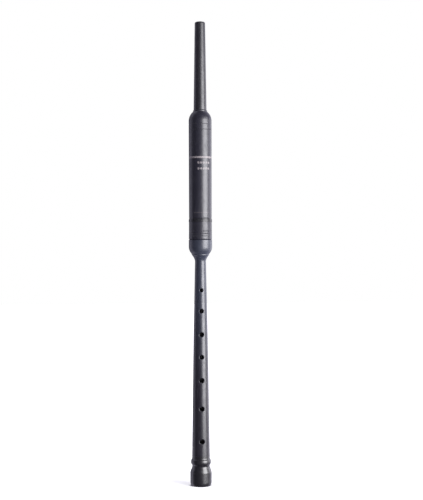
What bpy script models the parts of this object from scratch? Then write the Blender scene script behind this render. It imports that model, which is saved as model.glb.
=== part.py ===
"""Bagpipe practice chanter with a twist-to-drain moisture trap, modelled piece by piece.

The part stands on its sole: the origin is the centre of the sole's flat bottom, +Z runs up the
bore to the mouthpiece, and the finger holes face -Y. Lengths are metres.
"""

import math

import bmesh
import bpy
import numpy as np
from mathutils import Matrix

MM = 0.001

# Clearances
GAP = 0.3 * MM  # between two fixed pieces that touch on the real part
RUNNING_GAP = 0.3 * MM  # round a piece that turns or slides
SEAL_GAP = 0.25 * MM  # between a sealing ring and the walls it presses on

# Facets
ROUND_STEPS = 32  # round the large turned pieces
SMALL_STEPS = 24  # round the rings and thin tubes
HOLE_STEPS = 20

# How far a drill or cutter runs past the wall it cuts
OVERRUN = 1.0 * MM

# Sole
SOLE_HEIGHT = 31.3 * MM
SOLE_BORE_RADIUS = 3.2 * MM
SOLE_FLOOR = 4.0 * MM
SOLE_RADIUS = 11.3 * MM
SOLE_BOTTOM_RADIUS = 10.2 * MM
SOLE_EDGE_HEIGHT = 3.6 * MM
SOLE_FLARE_HEIGHT = 13.4 * MM
SOLE_WAIST_HEIGHT = 20.3 * MM
SOLE_WAIST_RADIUS = 9.3 * MM
SOLE_BEAD_HEIGHT = 24.7 * MM
SOLE_BEAD_HALF = 2.7 * MM
SOLE_BEAD_RISE = 1.25 * MM
SOLE_COVE_RUN = 0.25 * MM  # how the waist turns into the flare
SOLE_COVE_HEIGHT = 1.4 * MM
SOLE_EDGE_ROUND = 0.45 * MM
SOLE_TENON_RADIUS = 6.5 * MM

# Lower section: tapered tube, cup and tenon
TUBE_LENGTH = 205.2 * MM
TUBE_FOOT_RADIUS = 9.3 * MM
TUBE_SWELL = 0.3 * MM
TUBE_STEPS = 9
NECK_RADIUS = 5.8 * MM
CUP_HEIGHT = 22.8 * MM
CUP_RADIUS = 12.3 * MM
CUP_WALL_HEIGHT = 8.0 * MM
CUP_ROUND = 9.4 * MM
LEDGE_RADIUS = 9.3 * MM
LEDGE_HEIGHT = 7.4 * MM
LEDGE_STEP = 0.6 * MM
BORE_RADIUS = 2.75 * MM
TENON_LENGTH = 21.5 * MM
TENON_RADIUS = 8.0 * MM
REED_SEAT_DEPTH = 12.4 * MM

# Finger holes: distance below the joint face, and diameter, from the top hole down
FINGER_HOLES = (
    (53.2 * MM, 4.0 * MM),
    (75.1 * MM, 4.8 * MM),
    (99.9 * MM, 5.2 * MM),
    (123.6 * MM, 4.9 * MM),
    (148.2 * MM, 5.3 * MM),
    (178.1 * MM, 5.4 * MM),
    (212.5 * MM, 5.6 * MM),
)
THUMB_HOLE = (43.6 * MM, 4.4 * MM)

# Collar and seam ring
COLLAR_HEIGHT = 18.5 * MM
COLLAR_TOP_RADIUS = 12.04 * MM
COLLAR_FOOT_RADIUS = 12.17 * MM
COLLAR_GROOVES = 3
COLLAR_FIRST_GROOVE = 3.6 * MM
COLLAR_GROOVE_PITCH = 2.6 * MM
SEAM_RING_HEIGHT = 3.2 * MM
SEAM_RING_RADIUS = 12.35 * MM

# Trap core, twist sleeve and dome
CORE_RADIUS = 10.0 * MM
CHAMBER_RADIUS = 7.5 * MM
TRAP_FLOOR = 3.0 * MM
TRAP_DEPTH = 23.5 * MM  # from the trap's floor to the top of the sleeve
SPIGOT_RADIUS = 9.0 * MM
SPIGOT_LENGTH = 10.0 * MM
SLEEVE_TOP_RADIUS = 12.1 * MM
SLEEVE_FOOT_RADIUS = 11.95 * MM
LOWER_SEAL_DROP = 8.5 * MM  # from the drain port down to the lower sleeve seal
UPPER_SEAL_DROP = 13.2 * MM  # from the top of the sleeve down to its upper seal
DRAIN_DIAMETER = 3.0 * MM
TWIST_DEGREES = 90.0
DOME_SKIRT = 9.5 * MM
DOME_RISE = 9.8 * MM
DOME_CURVE_HEIGHT = 12.5 * MM
DOME_LIP_HEIGHT = 0.8 * MM
DOME_GROOVE_HEIGHT = 5.2 * MM

# Air chimney that stands in the trap
CHIMNEY_RADIUS = 2.3 * MM
CHIMNEY_BORE_RADIUS = 1.7 * MM
CHIMNEY_FLANGE_RADIUS = 3.6 * MM
CHIMNEY_FLANGE = 1.0 * MM
CHIMNEY_HEADROOM = 8.0 * MM

# Stop pin of the twist sleeve
PIN_RADIUS = 0.8 * MM
PIN_HEIGHT = 2.6 * MM  # above the sleeve's lower edge
PIN_REACH = 1.0 * MM  # past the core's surface

# Mouthpiece
MOUTHPIECE_LENGTH = 93.6 * MM
MOUTHPIECE_TIP_RADIUS = 5.5 * MM
MOUTHPIECE_BASE_RADIUS = 6.83 * MM
MOUTHPIECE_BORE_RADIUS = 2.0 * MM
MOUTHPIECE_TIP_ROUND = 1.7 * MM
MOUTHPIECE_TENON_RADIUS = 4.6 * MM
MOUTHPIECE_TENON_LENGTH = 9.0 * MM

# Sealing rings
SEAL_GROOVE_DEPTH = 1.3 * MM
SEAL_GROOVE_WIDTH = 1.8 * MM
MOUTH_GROOVE_DEPTH = 1.0 * MM
TENON_SEAL_EDGE = 6.0 * MM  # from each end of the tenon to the middle of its seal
SEAL_SIDES = 6

# Reed
BLADE_LENGTH = 49.7 * MM
BLADE_ROOT = 3.2 * MM  # the part of each blade under the whipping
BLADE_TIP_HALF_WIDTH = 4.95 * MM
BLADE_THROAT_HALF_WIDTH = 3.1 * MM
BLADE_TIP_CROWN = 0.85 * MM
BLADE_THROAT_CROWN = 2.95 * MM
BLADE_THICKNESS = 0.6 * MM
BLADE_SECTIONS = 7
BLADE_FACETS = 8
STAPLE_BASE = 16.5 * MM  # from the staple's foot to where the blades show
STAPLE_REACH = 6.0 * MM  # into the blades
STAPLE_FOOT_HEIGHT = 1.8 * MM
STAPLE_FOOT_RADIUS = 3.7 * MM
STAPLE_RADIUS = 3.0 * MM
STAPLE_NECK_RADIUS = 2.1 * MM
STAPLE_BORE_RADIUS = 1.3 * MM
SEAT_THREAD = 0.9 * MM
SEAT_PITCH = 1.42 * MM
SEAT_TURNS = 7
WHIP_THREAD = 0.6 * MM
WHIP_PITCH = 1.04 * MM
WHIP_TURNS = 2
LOOP_STEPS = 24
REED_TRAVEL = 13.0 * MM
REED_HEADROOM = 1.0 * MM

# Small edges
CHAMFER = 0.3 * MM
LINE_WIDTH = 0.7 * MM  # of a decorative turned line
LINE_DEPTH = 0.3 * MM

# How large the empties on the joint axes are drawn
EMPTY_SIZE = 10.0 * MM

# Heights that follow, from the bottom of the sole up
TUBE_FOOT = SOLE_HEIGHT + GAP
NECK = TUBE_FOOT + TUBE_LENGTH
JOINT_FACE = NECK + CUP_HEIGHT
TENON_TOP = JOINT_FACE + TENON_LENGTH
REED_SEAT = TENON_TOP - REED_SEAT_DEPTH
COLLAR_FOOT = JOINT_FACE + GAP
COLLAR_TOP = COLLAR_FOOT + COLLAR_HEIGHT
SEAM_RING_FOOT = COLLAR_TOP + GAP
SEAM_RING_TOP = SEAM_RING_FOOT + SEAM_RING_HEIGHT
SLEEVE_FOOT = SEAM_RING_TOP + RUNNING_GAP
REED_FOOT = REED_SEAT + GAP
BLADE_FOOT = REED_FOOT + STAPLE_BASE
REED_TIP = BLADE_FOOT + BLADE_LENGTH
FLOOR_UNDERSIDE = REED_TIP + REED_TRAVEL + REED_HEADROOM
FLOOR_TOP = FLOOR_UNDERSIDE + TRAP_FLOOR
SLEEVE_TOP = FLOOR_TOP + TRAP_DEPTH
DOME_FOOT = SLEEVE_TOP + RUNNING_GAP
CORE_TOP = SLEEVE_TOP + SPIGOT_LENGTH
DOME_WEB = CORE_TOP + GAP
DOME_SHOULDER = DOME_FOOT + DOME_SKIRT
DOME_EDGE = DOME_SHOULDER + DOME_RISE
DOME_TOP = DOME_EDGE + DOME_LIP_HEIGHT
MOUTHPIECE_FOOT = DOME_TOP + GAP
MOUTHPIECE_TOP = MOUTHPIECE_FOOT + MOUTHPIECE_LENGTH

# Radii that follow
SOLE_SOCKET_RADIUS = SOLE_TENON_RADIUS + GAP
SOCKET_RADIUS = TENON_RADIUS + RUNNING_GAP
SLEEVE_BORE_RADIUS = CORE_RADIUS + RUNNING_GAP
SEAT_THREAD_RADIUS = STAPLE_RADIUS + GAP + SEAT_THREAD / 2
WHIP_THREAD_RADIUS = BLADE_THROAT_HALF_WIDTH + GAP + WHIP_THREAD / 2
REED_SEAT_RADIUS = SEAT_THREAD_RADIUS + SEAT_THREAD / 2 + RUNNING_GAP
DRAIN_HEIGHT = FLOOR_TOP + DRAIN_DIAMETER / 2 + GAP
UPPER_SLEEVE_SEAL = SLEEVE_TOP - UPPER_SEAL_DROP
LOWER_SLEEVE_SEAL = DRAIN_HEIGHT - LOWER_SEAL_DROP


def arc(centre_radius, centre_height, half_width, half_height, start, end, steps):
    """Points of an ellipse in the profile plane, from one angle to another in degrees."""
    turns = np.radians(np.linspace(start, end, steps + 1))
    return [
        (centre_radius + half_width * math.cos(t), centre_height + half_height * math.sin(t))
        for t in turns
    ]


def turned_line(radius, height):
    """A shallow decorative V cut into a surface, from its upper edge to its lower edge."""
    return [
        (radius, height + LINE_WIDTH / 2),
        (radius - LINE_DEPTH, height),
        (radius, height - LINE_WIDTH / 2),
    ]


def seal_groove(radius, height, depth):
    """A square groove for a sealing ring, from its upper edge to its lower edge."""
    upper = height + SEAL_GROOVE_WIDTH / 2
    lower = height - SEAL_GROOVE_WIDTH / 2
    return [(radius, upper), (radius - depth, upper), (radius - depth, lower), (radius, lower)]


def material(name, colour, roughness, metallic=0.0):
    """A plain Principled material."""
    made = bpy.data.materials.new(name)
    made.use_nodes = True
    shader = made.node_tree.nodes["Principled BSDF"]
    shader.inputs["Base Color"].default_value = (*colour, 1.0)
    shader.inputs["Roughness"].default_value = roughness
    shader.inputs["Metallic"].default_value = metallic
    return made


def pivot(name, height, parent=None):
    """An empty on the bore's axis that carries one moving group."""
    empty = bpy.data.objects.new(name, None)
    empty.empty_display_size = EMPTY_SIZE
    bpy.context.collection.objects.link(empty)
    place(empty, height, parent)
    return empty


def place(piece, height, parent):
    """Puts a piece on the axis at a height above the sole's bottom, under its parent."""
    parent_height = 0.0
    above = parent
    while above is not None:
        parent_height += above.location.z
        above = above.parent
    piece.parent = parent
    piece.location = (0.0, 0.0, height - parent_height)


def add_mesh(name, bm, look, height, parent):
    """Turns a bmesh whose heights are the part's own into an object with its origin at height."""
    bmesh.ops.translate(bm, verts=bm.verts, vec=(0.0, 0.0, -height))
    bmesh.ops.recalc_face_normals(bm, faces=bm.faces)
    mesh = bpy.data.meshes.new(name)
    bm.to_mesh(mesh)
    bm.free()
    mesh.shade_smooth()
    mesh.set_sharp_from_angle(angle=math.radians(32))
    mesh.materials.append(look)
    piece = bpy.data.objects.new(name, mesh)
    bpy.context.collection.objects.link(piece)
    place(piece, height, parent)
    return piece


def turned(name, outline, look, height=0.0, parent=None, steps=ROUND_STEPS):
    """Spins a closed outline of (radius, height) points once round the bore's axis."""
    bm = bmesh.new()
    corners = [bm.verts.new((radius, 0.0, z)) for radius, z in outline]
    edges = [bm.edges.new((a, b)) for a, b in zip(corners, corners[1:] + corners[:1])]
    bmesh.ops.spin(
        bm,
        geom=corners + edges,
        cent=(0.0, 0.0, 0.0),
        axis=(0.0, 0.0, 1.0),
        angle=2 * math.pi,
        steps=steps,
        use_merge=True,
    )
    return add_mesh(name, bm, look, height, parent)


def drill(bm, radius, height, degrees, start, end):
    """Adds one radial drill to a cutter mesh, from radius start to radius end."""
    lying = Matrix.Rotation(math.radians(90), 4, "Y")
    reach = Matrix.Translation(((start + end) / 2, 0.0, height))
    heading = Matrix.Rotation(math.radians(degrees), 4, "Z")
    bmesh.ops.create_cone(
        bm,
        cap_ends=True,
        segments=HOLE_STEPS,
        radius1=radius,
        radius2=radius,
        depth=end - start,
        matrix=heading @ reach @ lying,
    )


def cut(piece, name, bm):
    """Cuts a piece with a bmesh cutter, which stays in the file as a wire guide."""
    bmesh.ops.recalc_face_normals(bm, faces=bm.faces)
    mesh = bpy.data.meshes.new(name)
    bm.to_mesh(mesh)
    bm.free()
    cutter = bpy.data.objects.new(name, mesh)
    bpy.context.collection.objects.link(cutter)
    cutter.hide_render = True
    cutter.display_type = "WIRE"
    boolean = piece.modifiers.new(name, "BOOLEAN")
    boolean.operation = "DIFFERENCE"
    boolean.solver = "EXACT"
    boolean.object = cutter


def seal(name, inner_radius, outer_radius, height, look, parent):
    """A rubber sealing ring of round section between two radii."""
    section = (outer_radius - inner_radius) / 2
    middle = (outer_radius + inner_radius) / 2
    round_section = arc(middle, height, section, section, 0, 360, SEAL_SIDES)[:-1]
    return turned(name, round_section, look, height, parent, SMALL_STEPS)


def winding(name, radius, thread, pitch, turns, foot, look, parent):
    """A thread wound in one layer as one unbroken tube, with short straight ends."""
    count = turns * LOOP_STEPS + 1
    angle = np.linspace(0.0, 2 * math.pi * turns, count)
    rise = thread / 2 + pitch * angle / (2 * math.pi)
    wound = np.column_stack((radius * np.cos(angle), radius * np.sin(angle), rise))
    tail = wound[0] - np.array((0.0, thread, 0.0))
    head = wound[-1] + np.array((0.0, thread, 0.0))
    points = np.vstack((tail, wound, head))
    one_turn = wound[LOOP_STEPS:] - wound[:-LOOP_STEPS]
    least_gap = np.linalg.norm(one_turn, axis=1).min() - thread
    print(name, "least gap to itself, mm:", round(least_gap / MM, 3))
    curve = bpy.data.curves.new(name, "CURVE")
    curve.dimensions = "3D"
    curve.bevel_depth = thread / 2
    curve.bevel_resolution = 1
    curve.use_fill_caps = True
    spline = curve.splines.new("POLY")
    spline.points.add(len(points) - 1)
    for point, (x, y, z) in zip(spline.points, points):
        point.co = (x, y, z, 1.0)
    curve.materials.append(look)
    thread_piece = bpy.data.objects.new(name, curve)
    bpy.context.collection.objects.link(thread_piece)
    place(thread_piece, foot, parent)
    return thread_piece


def make_sole(look):
    """The flared foot that the player rests on a knee or a table, bored through."""
    flare = [
        (SOLE_WAIST_RADIUS, SOLE_WAIST_HEIGHT),
        (SOLE_WAIST_RADIUS + SOLE_COVE_RUN, SOLE_WAIST_HEIGHT - SOLE_COVE_HEIGHT),
        (SOLE_RADIUS - CHAMFER / 2, SOLE_FLARE_HEIGHT + CHAMFER),
        (SOLE_RADIUS, SOLE_FLARE_HEIGHT),
    ]
    bottom_edge = [
        (SOLE_RADIUS, SOLE_EDGE_HEIGHT),
        (SOLE_RADIUS - SOLE_EDGE_ROUND, SOLE_EDGE_HEIGHT / 2),
        (SOLE_BOTTOM_RADIUS + CHAMFER, 2 * CHAMFER),
        (SOLE_BOTTOM_RADIUS, 0.0),
    ]
    bead = arc(
        SOLE_WAIST_RADIUS, SOLE_BEAD_HEIGHT, SOLE_BEAD_RISE, SOLE_BEAD_HALF, 90, -90, 8
    )
    outline = [
        (SOLE_BORE_RADIUS, 0.0),
        (SOLE_BORE_RADIUS, SOLE_FLOOR),
        (SOLE_SOCKET_RADIUS, SOLE_FLOOR),
        (SOLE_SOCKET_RADIUS, SOLE_HEIGHT),
        (TUBE_FOOT_RADIUS, SOLE_HEIGHT),
        *bead,
        *flare,
        *bottom_edge,
    ]
    return turned("sole", outline, look)


def tube_radius(share):
    """Outer radius of the tapered tube, share 0 at the neck and 1 at its foot."""
    straight = NECK_RADIUS + share * (TUBE_FOOT_RADIUS - NECK_RADIUS)
    return straight + TUBE_SWELL * math.sin(math.pi * share) ** 1.5


def make_chanter_body(look):
    """The lower section: tenon with the reed seat, cup, neck and tapered tube with its holes."""
    wall_foot = JOINT_FACE - CUP_WALL_HEIGHT
    ledge = NECK + LEDGE_HEIGHT
    round_centre = CUP_RADIUS - CUP_ROUND
    ledge_angle = math.degrees(math.acos((LEDGE_RADIUS + LEDGE_STEP - round_centre) / CUP_ROUND))
    cup_round = arc(round_centre, wall_foot, CUP_ROUND, CUP_ROUND, 0, -ledge_angle, 6)
    cove_top = ledge - LEDGE_STEP
    cove_rise = cove_top - NECK
    cove_run = LEDGE_RADIUS - LEDGE_STEP - NECK_RADIUS
    cove_radius = (cove_rise**2 + cove_run**2) / (2 * cove_run)
    cove_angle = math.degrees(math.asin(cove_rise / cove_radius))
    cove = arc(NECK_RADIUS + cove_radius, NECK, cove_radius, cove_radius, 180 - cove_angle, 180, 5)
    taper = [
        (tube_radius(share), NECK - share * TUBE_LENGTH)
        for share in np.linspace(0.0, 1.0, TUBE_STEPS + 1)[1:]
    ]
    outline = [
        (BORE_RADIUS, SOLE_FLOOR + GAP),
        (BORE_RADIUS, REED_SEAT),
        (REED_SEAT_RADIUS, REED_SEAT),
        (REED_SEAT_RADIUS, TENON_TOP),
        (TENON_RADIUS - CHAMFER, TENON_TOP),
        (TENON_RADIUS, TENON_TOP - CHAMFER),
        *seal_groove(TENON_RADIUS, TENON_TOP - TENON_SEAL_EDGE, SEAL_GROOVE_DEPTH),
        *seal_groove(TENON_RADIUS, JOINT_FACE + TENON_SEAL_EDGE, SEAL_GROOVE_DEPTH),
        (TENON_RADIUS, JOINT_FACE),
        (CUP_RADIUS - CHAMFER, JOINT_FACE),
        (CUP_RADIUS, JOINT_FACE - CHAMFER),
        *cup_round,
        (LEDGE_RADIUS, ledge),
        *cove,
        *taper,
        (SOLE_TENON_RADIUS, TUBE_FOOT),
        (SOLE_TENON_RADIUS, SOLE_FLOOR + GAP),
    ]
    body = turned("chanter_body", outline, look)
    drills = bmesh.new()
    reach = CUP_RADIUS
    for below_joint, diameter in FINGER_HOLES:
        drill(drills, diameter / 2, JOINT_FACE - below_joint, -90, BORE_RADIUS / 2, reach)
    below_joint, diameter = THUMB_HOLE
    drill(drills, diameter / 2, JOINT_FACE - below_joint, 90, BORE_RADIUS / 2, reach)
    cut(body, "finger_hole_drills", drills)
    return body


def make_collar(look, parent):
    """The grip collar fixed round the core's foot, with three turned lines."""

    def outer_radius(height):
        share = (height - COLLAR_FOOT) / COLLAR_HEIGHT
        return COLLAR_FOOT_RADIUS + share * (COLLAR_TOP_RADIUS - COLLAR_FOOT_RADIUS)

    lines = []
    for index in reversed(range(COLLAR_GROOVES)):
        height = COLLAR_FOOT + COLLAR_FIRST_GROOVE + index * COLLAR_GROOVE_PITCH
        lines += turned_line(outer_radius(height), height)
    outline = [
        (CORE_RADIUS + GAP, COLLAR_FOOT),
        (CORE_RADIUS + GAP, COLLAR_TOP),
        (COLLAR_TOP_RADIUS - CHAMFER, COLLAR_TOP),
        (COLLAR_TOP_RADIUS, COLLAR_TOP - CHAMFER),
        *lines,
        (COLLAR_FOOT_RADIUS, COLLAR_FOOT + CHAMFER),
        (COLLAR_FOOT_RADIUS - CHAMFER, COLLAR_FOOT),
    ]
    return turned("grip_collar", outline, look, COLLAR_FOOT, parent)


def make_seam_ring(look, parent):
    """The soft ring under the twist sleeve, a little proud of both neighbours."""
    middle = (SEAM_RING_FOOT + SEAM_RING_TOP) / 2
    bulge = SEAM_RING_HEIGHT / 4
    crown = arc(SEAM_RING_RADIUS - bulge, middle, bulge, SEAM_RING_HEIGHT / 2, 90, -90, 4)
    outline = [
        (CORE_RADIUS + GAP, SEAM_RING_FOOT),
        (CORE_RADIUS + GAP, SEAM_RING_TOP),
        *crown,
    ]
    return turned("seam_ring", outline, look, SEAM_RING_FOOT, parent)


def make_trap_core(look, parent):
    """The inner tube: socket for the tenon, reed chamber, trap floor and trap chamber."""
    outline = [
        (SOCKET_RADIUS + CHAMFER, COLLAR_FOOT),
        (SOCKET_RADIUS, COLLAR_FOOT + CHAMFER),
        (SOCKET_RADIUS, TENON_TOP + GAP),
        (CHAMBER_RADIUS, TENON_TOP + GAP),
        (CHAMBER_RADIUS, FLOOR_UNDERSIDE),
        (CHIMNEY_RADIUS + GAP, FLOOR_UNDERSIDE),
        (CHIMNEY_RADIUS + GAP, FLOOR_TOP),
        (CHAMBER_RADIUS, FLOOR_TOP),
        (CHAMBER_RADIUS, CORE_TOP),
        (SPIGOT_RADIUS, CORE_TOP),
        (SPIGOT_RADIUS, SLEEVE_TOP),
        (CORE_RADIUS, SLEEVE_TOP),
        *seal_groove(CORE_RADIUS, UPPER_SLEEVE_SEAL, SEAL_GROOVE_DEPTH),
        *seal_groove(CORE_RADIUS, LOWER_SLEEVE_SEAL, SEAL_GROOVE_DEPTH),
        (CORE_RADIUS, COLLAR_FOOT),
    ]
    core = turned("trap_core", outline, look, COLLAR_FOOT, parent)
    drills = bmesh.new()
    past_wall = CORE_RADIUS + OVERRUN
    inside_wall = CHAMBER_RADIUS - OVERRUN
    drill(drills, DRAIN_DIAMETER / 2, DRAIN_HEIGHT, 90 + TWIST_DEGREES, inside_wall, past_wall)
    drill(drills, PIN_RADIUS + GAP, SLEEVE_FOOT + PIN_HEIGHT, 90, inside_wall, past_wall)
    cut(core, "core_drills", drills)
    return core


def make_stop_pin(look, parent):
    """The pin in the core that limits the sleeve's turn."""
    bm = bmesh.new()
    foot = CHAMBER_RADIUS + GAP
    height = SLEEVE_FOOT + PIN_HEIGHT
    drill(bm, PIN_RADIUS, height, 90, foot, CORE_RADIUS + PIN_REACH)
    return add_mesh("stop_pin", bm, look, height, parent)


def make_twist_sleeve(look, parent):
    """The outer barrel: turned a quarter turn, its port meets the core's drain port."""
    outline = [
        (SLEEVE_BORE_RADIUS, SLEEVE_FOOT),
        (SLEEVE_BORE_RADIUS, SLEEVE_TOP),
        (SLEEVE_TOP_RADIUS - CHAMFER, SLEEVE_TOP),
        (SLEEVE_TOP_RADIUS, SLEEVE_TOP - CHAMFER),
        (SLEEVE_FOOT_RADIUS, SLEEVE_FOOT + CHAMFER),
        (SLEEVE_FOOT_RADIUS - CHAMFER, SLEEVE_FOOT),
    ]
    sleeve = turned("twist_sleeve", outline, look, SLEEVE_FOOT, parent)
    port = bmesh.new()
    past_wall = SLEEVE_TOP_RADIUS + OVERRUN
    drill(port, DRAIN_DIAMETER / 2, DRAIN_HEIGHT, 90, CORE_RADIUS - OVERRUN, past_wall)
    cut(sleeve, "sleeve_port_drill", port)
    cut(sleeve, "stop_slot_cutter", make_stop_slot())
    return sleeve


def make_stop_slot():
    """A curved pocket inside the sleeve's lower edge, as long as the twist and the pin."""
    margin = math.degrees((PIN_RADIUS + RUNNING_GAP) / CORE_RADIUS)
    start = math.radians(90 - TWIST_DEGREES - margin)
    end = math.radians(90 + margin)
    inner = CORE_RADIUS - OVERRUN
    outer = CORE_RADIUS + PIN_REACH + RUNNING_GAP
    lower = SLEEVE_FOOT - OVERRUN
    upper = SLEEVE_FOOT + PIN_HEIGHT + PIN_RADIUS + RUNNING_GAP
    bm = bmesh.new()
    steps = ROUND_STEPS // 2
    rings = []
    for turn in np.linspace(start, end, steps + 1):
        across = [(inner, lower), (outer, lower), (outer, upper), (inner, upper)]
        ring = [bm.verts.new((r * math.cos(turn), r * math.sin(turn), z)) for r, z in across]
        rings.append(ring)
    for near, far in zip(rings, rings[1:]):
        for side in range(4):
            following = (side + 1) % 4
            bm.faces.new((near[side], near[following], far[following], far[side]))
    bm.faces.new(rings[0])
    bm.faces.new(rings[-1])
    return bm


def make_chimney(look, parent):
    """The standpipe that carries air past the water, seated by its flange on the trap's floor."""
    flange_foot = FLOOR_TOP + GAP
    top = CORE_TOP - CHIMNEY_HEADROOM
    outline = [
        (CHIMNEY_BORE_RADIUS, FLOOR_UNDERSIDE),
        (CHIMNEY_BORE_RADIUS, top),
        (CHIMNEY_RADIUS, top),
        (CHIMNEY_RADIUS, flange_foot + CHIMNEY_FLANGE),
        (CHIMNEY_FLANGE_RADIUS, flange_foot + CHIMNEY_FLANGE),
        (CHIMNEY_FLANGE_RADIUS, flange_foot),
        (CHIMNEY_RADIUS, flange_foot),
        (CHIMNEY_RADIUS, FLOOR_UNDERSIDE),
    ]
    return turned("air_chimney", outline, look, FLOOR_UNDERSIDE, parent, SMALL_STEPS)


def make_dome_cap(look, parent):
    """The domed shoulder fixed on the core's spigot, with the mouthpiece's socket on top."""
    curve_end = math.degrees(math.asin(DOME_RISE / DOME_CURVE_HEIGHT))
    shoulder = arc(0.0, DOME_SHOULDER, SLEEVE_TOP_RADIUS, DOME_CURVE_HEIGHT, curve_end, 0, 8)
    lip_radius = shoulder[0][0]
    outline = [
        (SPIGOT_RADIUS + GAP, DOME_FOOT),
        (SPIGOT_RADIUS + GAP, DOME_WEB),
        (MOUTHPIECE_TENON_RADIUS + RUNNING_GAP, DOME_WEB),
        (MOUTHPIECE_TENON_RADIUS + RUNNING_GAP, DOME_TOP),
        (lip_radius - CHAMFER, DOME_TOP),
        (lip_radius, DOME_TOP - CHAMFER),
        *shoulder,
        *turned_line(SLEEVE_TOP_RADIUS, DOME_FOOT + DOME_GROOVE_HEIGHT),
        (SLEEVE_TOP_RADIUS, DOME_FOOT + CHAMFER),
        (SLEEVE_TOP_RADIUS - CHAMFER, DOME_FOOT),
    ]
    return turned("dome_cap", outline, look, DOME_FOOT, parent)


def make_mouthpiece(look, parent):
    """The tapered blow stem, with its tenon and rounded tip."""
    tip = arc(
        MOUTHPIECE_TIP_RADIUS - MOUTHPIECE_TIP_ROUND,
        MOUTHPIECE_TOP - MOUTHPIECE_TIP_ROUND,
        MOUTHPIECE_TIP_ROUND,
        MOUTHPIECE_TIP_ROUND,
        90,
        0,
        4,
    )
    tenon_foot = MOUTHPIECE_FOOT - MOUTHPIECE_TENON_LENGTH
    seal_height = MOUTHPIECE_FOOT - MOUTHPIECE_TENON_LENGTH / 2
    outline = [
        (MOUTHPIECE_BORE_RADIUS, tenon_foot),
        (MOUTHPIECE_BORE_RADIUS, MOUTHPIECE_TOP),
        *tip,
        (MOUTHPIECE_BASE_RADIUS, MOUTHPIECE_FOOT + CHAMFER),
        (MOUTHPIECE_BASE_RADIUS - CHAMFER, MOUTHPIECE_FOOT),
        (MOUTHPIECE_TENON_RADIUS, MOUTHPIECE_FOOT),
        *seal_groove(MOUTHPIECE_TENON_RADIUS, seal_height, MOUTH_GROOVE_DEPTH),
        (MOUTHPIECE_TENON_RADIUS, tenon_foot + CHAMFER),
        (MOUTHPIECE_TENON_RADIUS - CHAMFER, tenon_foot),
    ]
    return turned("mouthpiece", outline, look, MOUTHPIECE_FOOT, parent)


def make_seals(look, tenon_group, top_group, mouthpiece_group):
    """The five sealing rings, each in its groove and just clear of the wall it seals on."""
    for name, height in (
        ("tenon_seal_upper", TENON_TOP - TENON_SEAL_EDGE),
        ("tenon_seal_lower", JOINT_FACE + TENON_SEAL_EDGE),
    ):
        inner = TENON_RADIUS - SEAL_GROOVE_DEPTH + SEAL_GAP
        seal(name, inner, SOCKET_RADIUS - SEAL_GAP, height, look, tenon_group)
    for name, height in (
        ("sleeve_seal_upper", UPPER_SLEEVE_SEAL),
        ("sleeve_seal_lower", LOWER_SLEEVE_SEAL),
    ):
        inner = CORE_RADIUS - SEAL_GROOVE_DEPTH + SEAL_GAP
        seal(name, inner, SLEEVE_BORE_RADIUS - SEAL_GAP, height, look, top_group)
    inner = MOUTHPIECE_TENON_RADIUS - MOUTH_GROOVE_DEPTH + SEAL_GAP
    outer = MOUTHPIECE_TENON_RADIUS + RUNNING_GAP - SEAL_GAP
    height = MOUTHPIECE_FOOT - MOUTHPIECE_TENON_LENGTH / 2
    seal("mouthpiece_seal", inner, outer, height, look, mouthpiece_group)


def make_staple(look, parent):
    """The reed's bored base: a foot, the wound part and a thin neck inside the blades."""
    step = BLADE_FOOT - BLADE_ROOT - GAP
    outline = [
        (STAPLE_BORE_RADIUS, REED_FOOT),
        (STAPLE_BORE_RADIUS, BLADE_FOOT + STAPLE_REACH),
        (STAPLE_NECK_RADIUS, BLADE_FOOT + STAPLE_REACH),
        (STAPLE_NECK_RADIUS, step),
        (STAPLE_RADIUS, step),
        (STAPLE_RADIUS, REED_FOOT + STAPLE_FOOT_HEIGHT),
        (STAPLE_FOOT_RADIUS, REED_FOOT + STAPLE_FOOT_HEIGHT),
        (STAPLE_FOOT_RADIUS, REED_FOOT + CHAMFER),
        (STAPLE_FOOT_RADIUS - CHAMFER, REED_FOOT),
    ]
    return turned("reed_staple", outline, look, REED_FOOT, parent, SMALL_STEPS)


def make_blade(name, side, look, parent):
    """One reed blade: a strip that is rolled at the throat and almost flat at the tip."""
    bm = bmesh.new()
    rings = []
    sweep = np.linspace(0.0, math.pi, BLADE_FACETS + 1)
    for step in range(BLADE_SECTIONS + 1):
        share = max(0.0, (step - 1) / (BLADE_SECTIONS - 1))
        height = BLADE_FOOT - BLADE_ROOT if step == 0 else BLADE_FOOT + share * BLADE_LENGTH
        opened = math.sin(share * math.pi / 2)
        half_width = BLADE_THROAT_HALF_WIDTH + share * (BLADE_TIP_HALF_WIDTH - BLADE_THROAT_HALF_WIDTH)
        crown = BLADE_THROAT_CROWN + opened * (BLADE_TIP_CROWN - BLADE_THROAT_CROWN)
        ring = []
        for inset, turns in ((0.0, sweep), (BLADE_THICKNESS, sweep[::-1])):
            for turn in turns:
                x = (half_width - inset) * math.cos(turn)
                y = side * (GAP / 2 + (crown - inset) * math.sin(turn))
                ring.append(bm.verts.new((x, y, height)))
        rings.append(ring)
    around = len(rings[0])
    for lower, upper in zip(rings, rings[1:]):
        for corner in range(around):
            following = (corner + 1) % around
            bm.faces.new((lower[corner], lower[following], upper[following], upper[corner]))
    for ring in (rings[0], rings[-1]):
        for corner in range(BLADE_FACETS):
            opposite = around - 1 - corner
            bm.faces.new((ring[corner], ring[corner + 1], ring[opposite - 1], ring[opposite]))
    return add_mesh(name, bm, look, BLADE_FOOT, parent)


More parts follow.
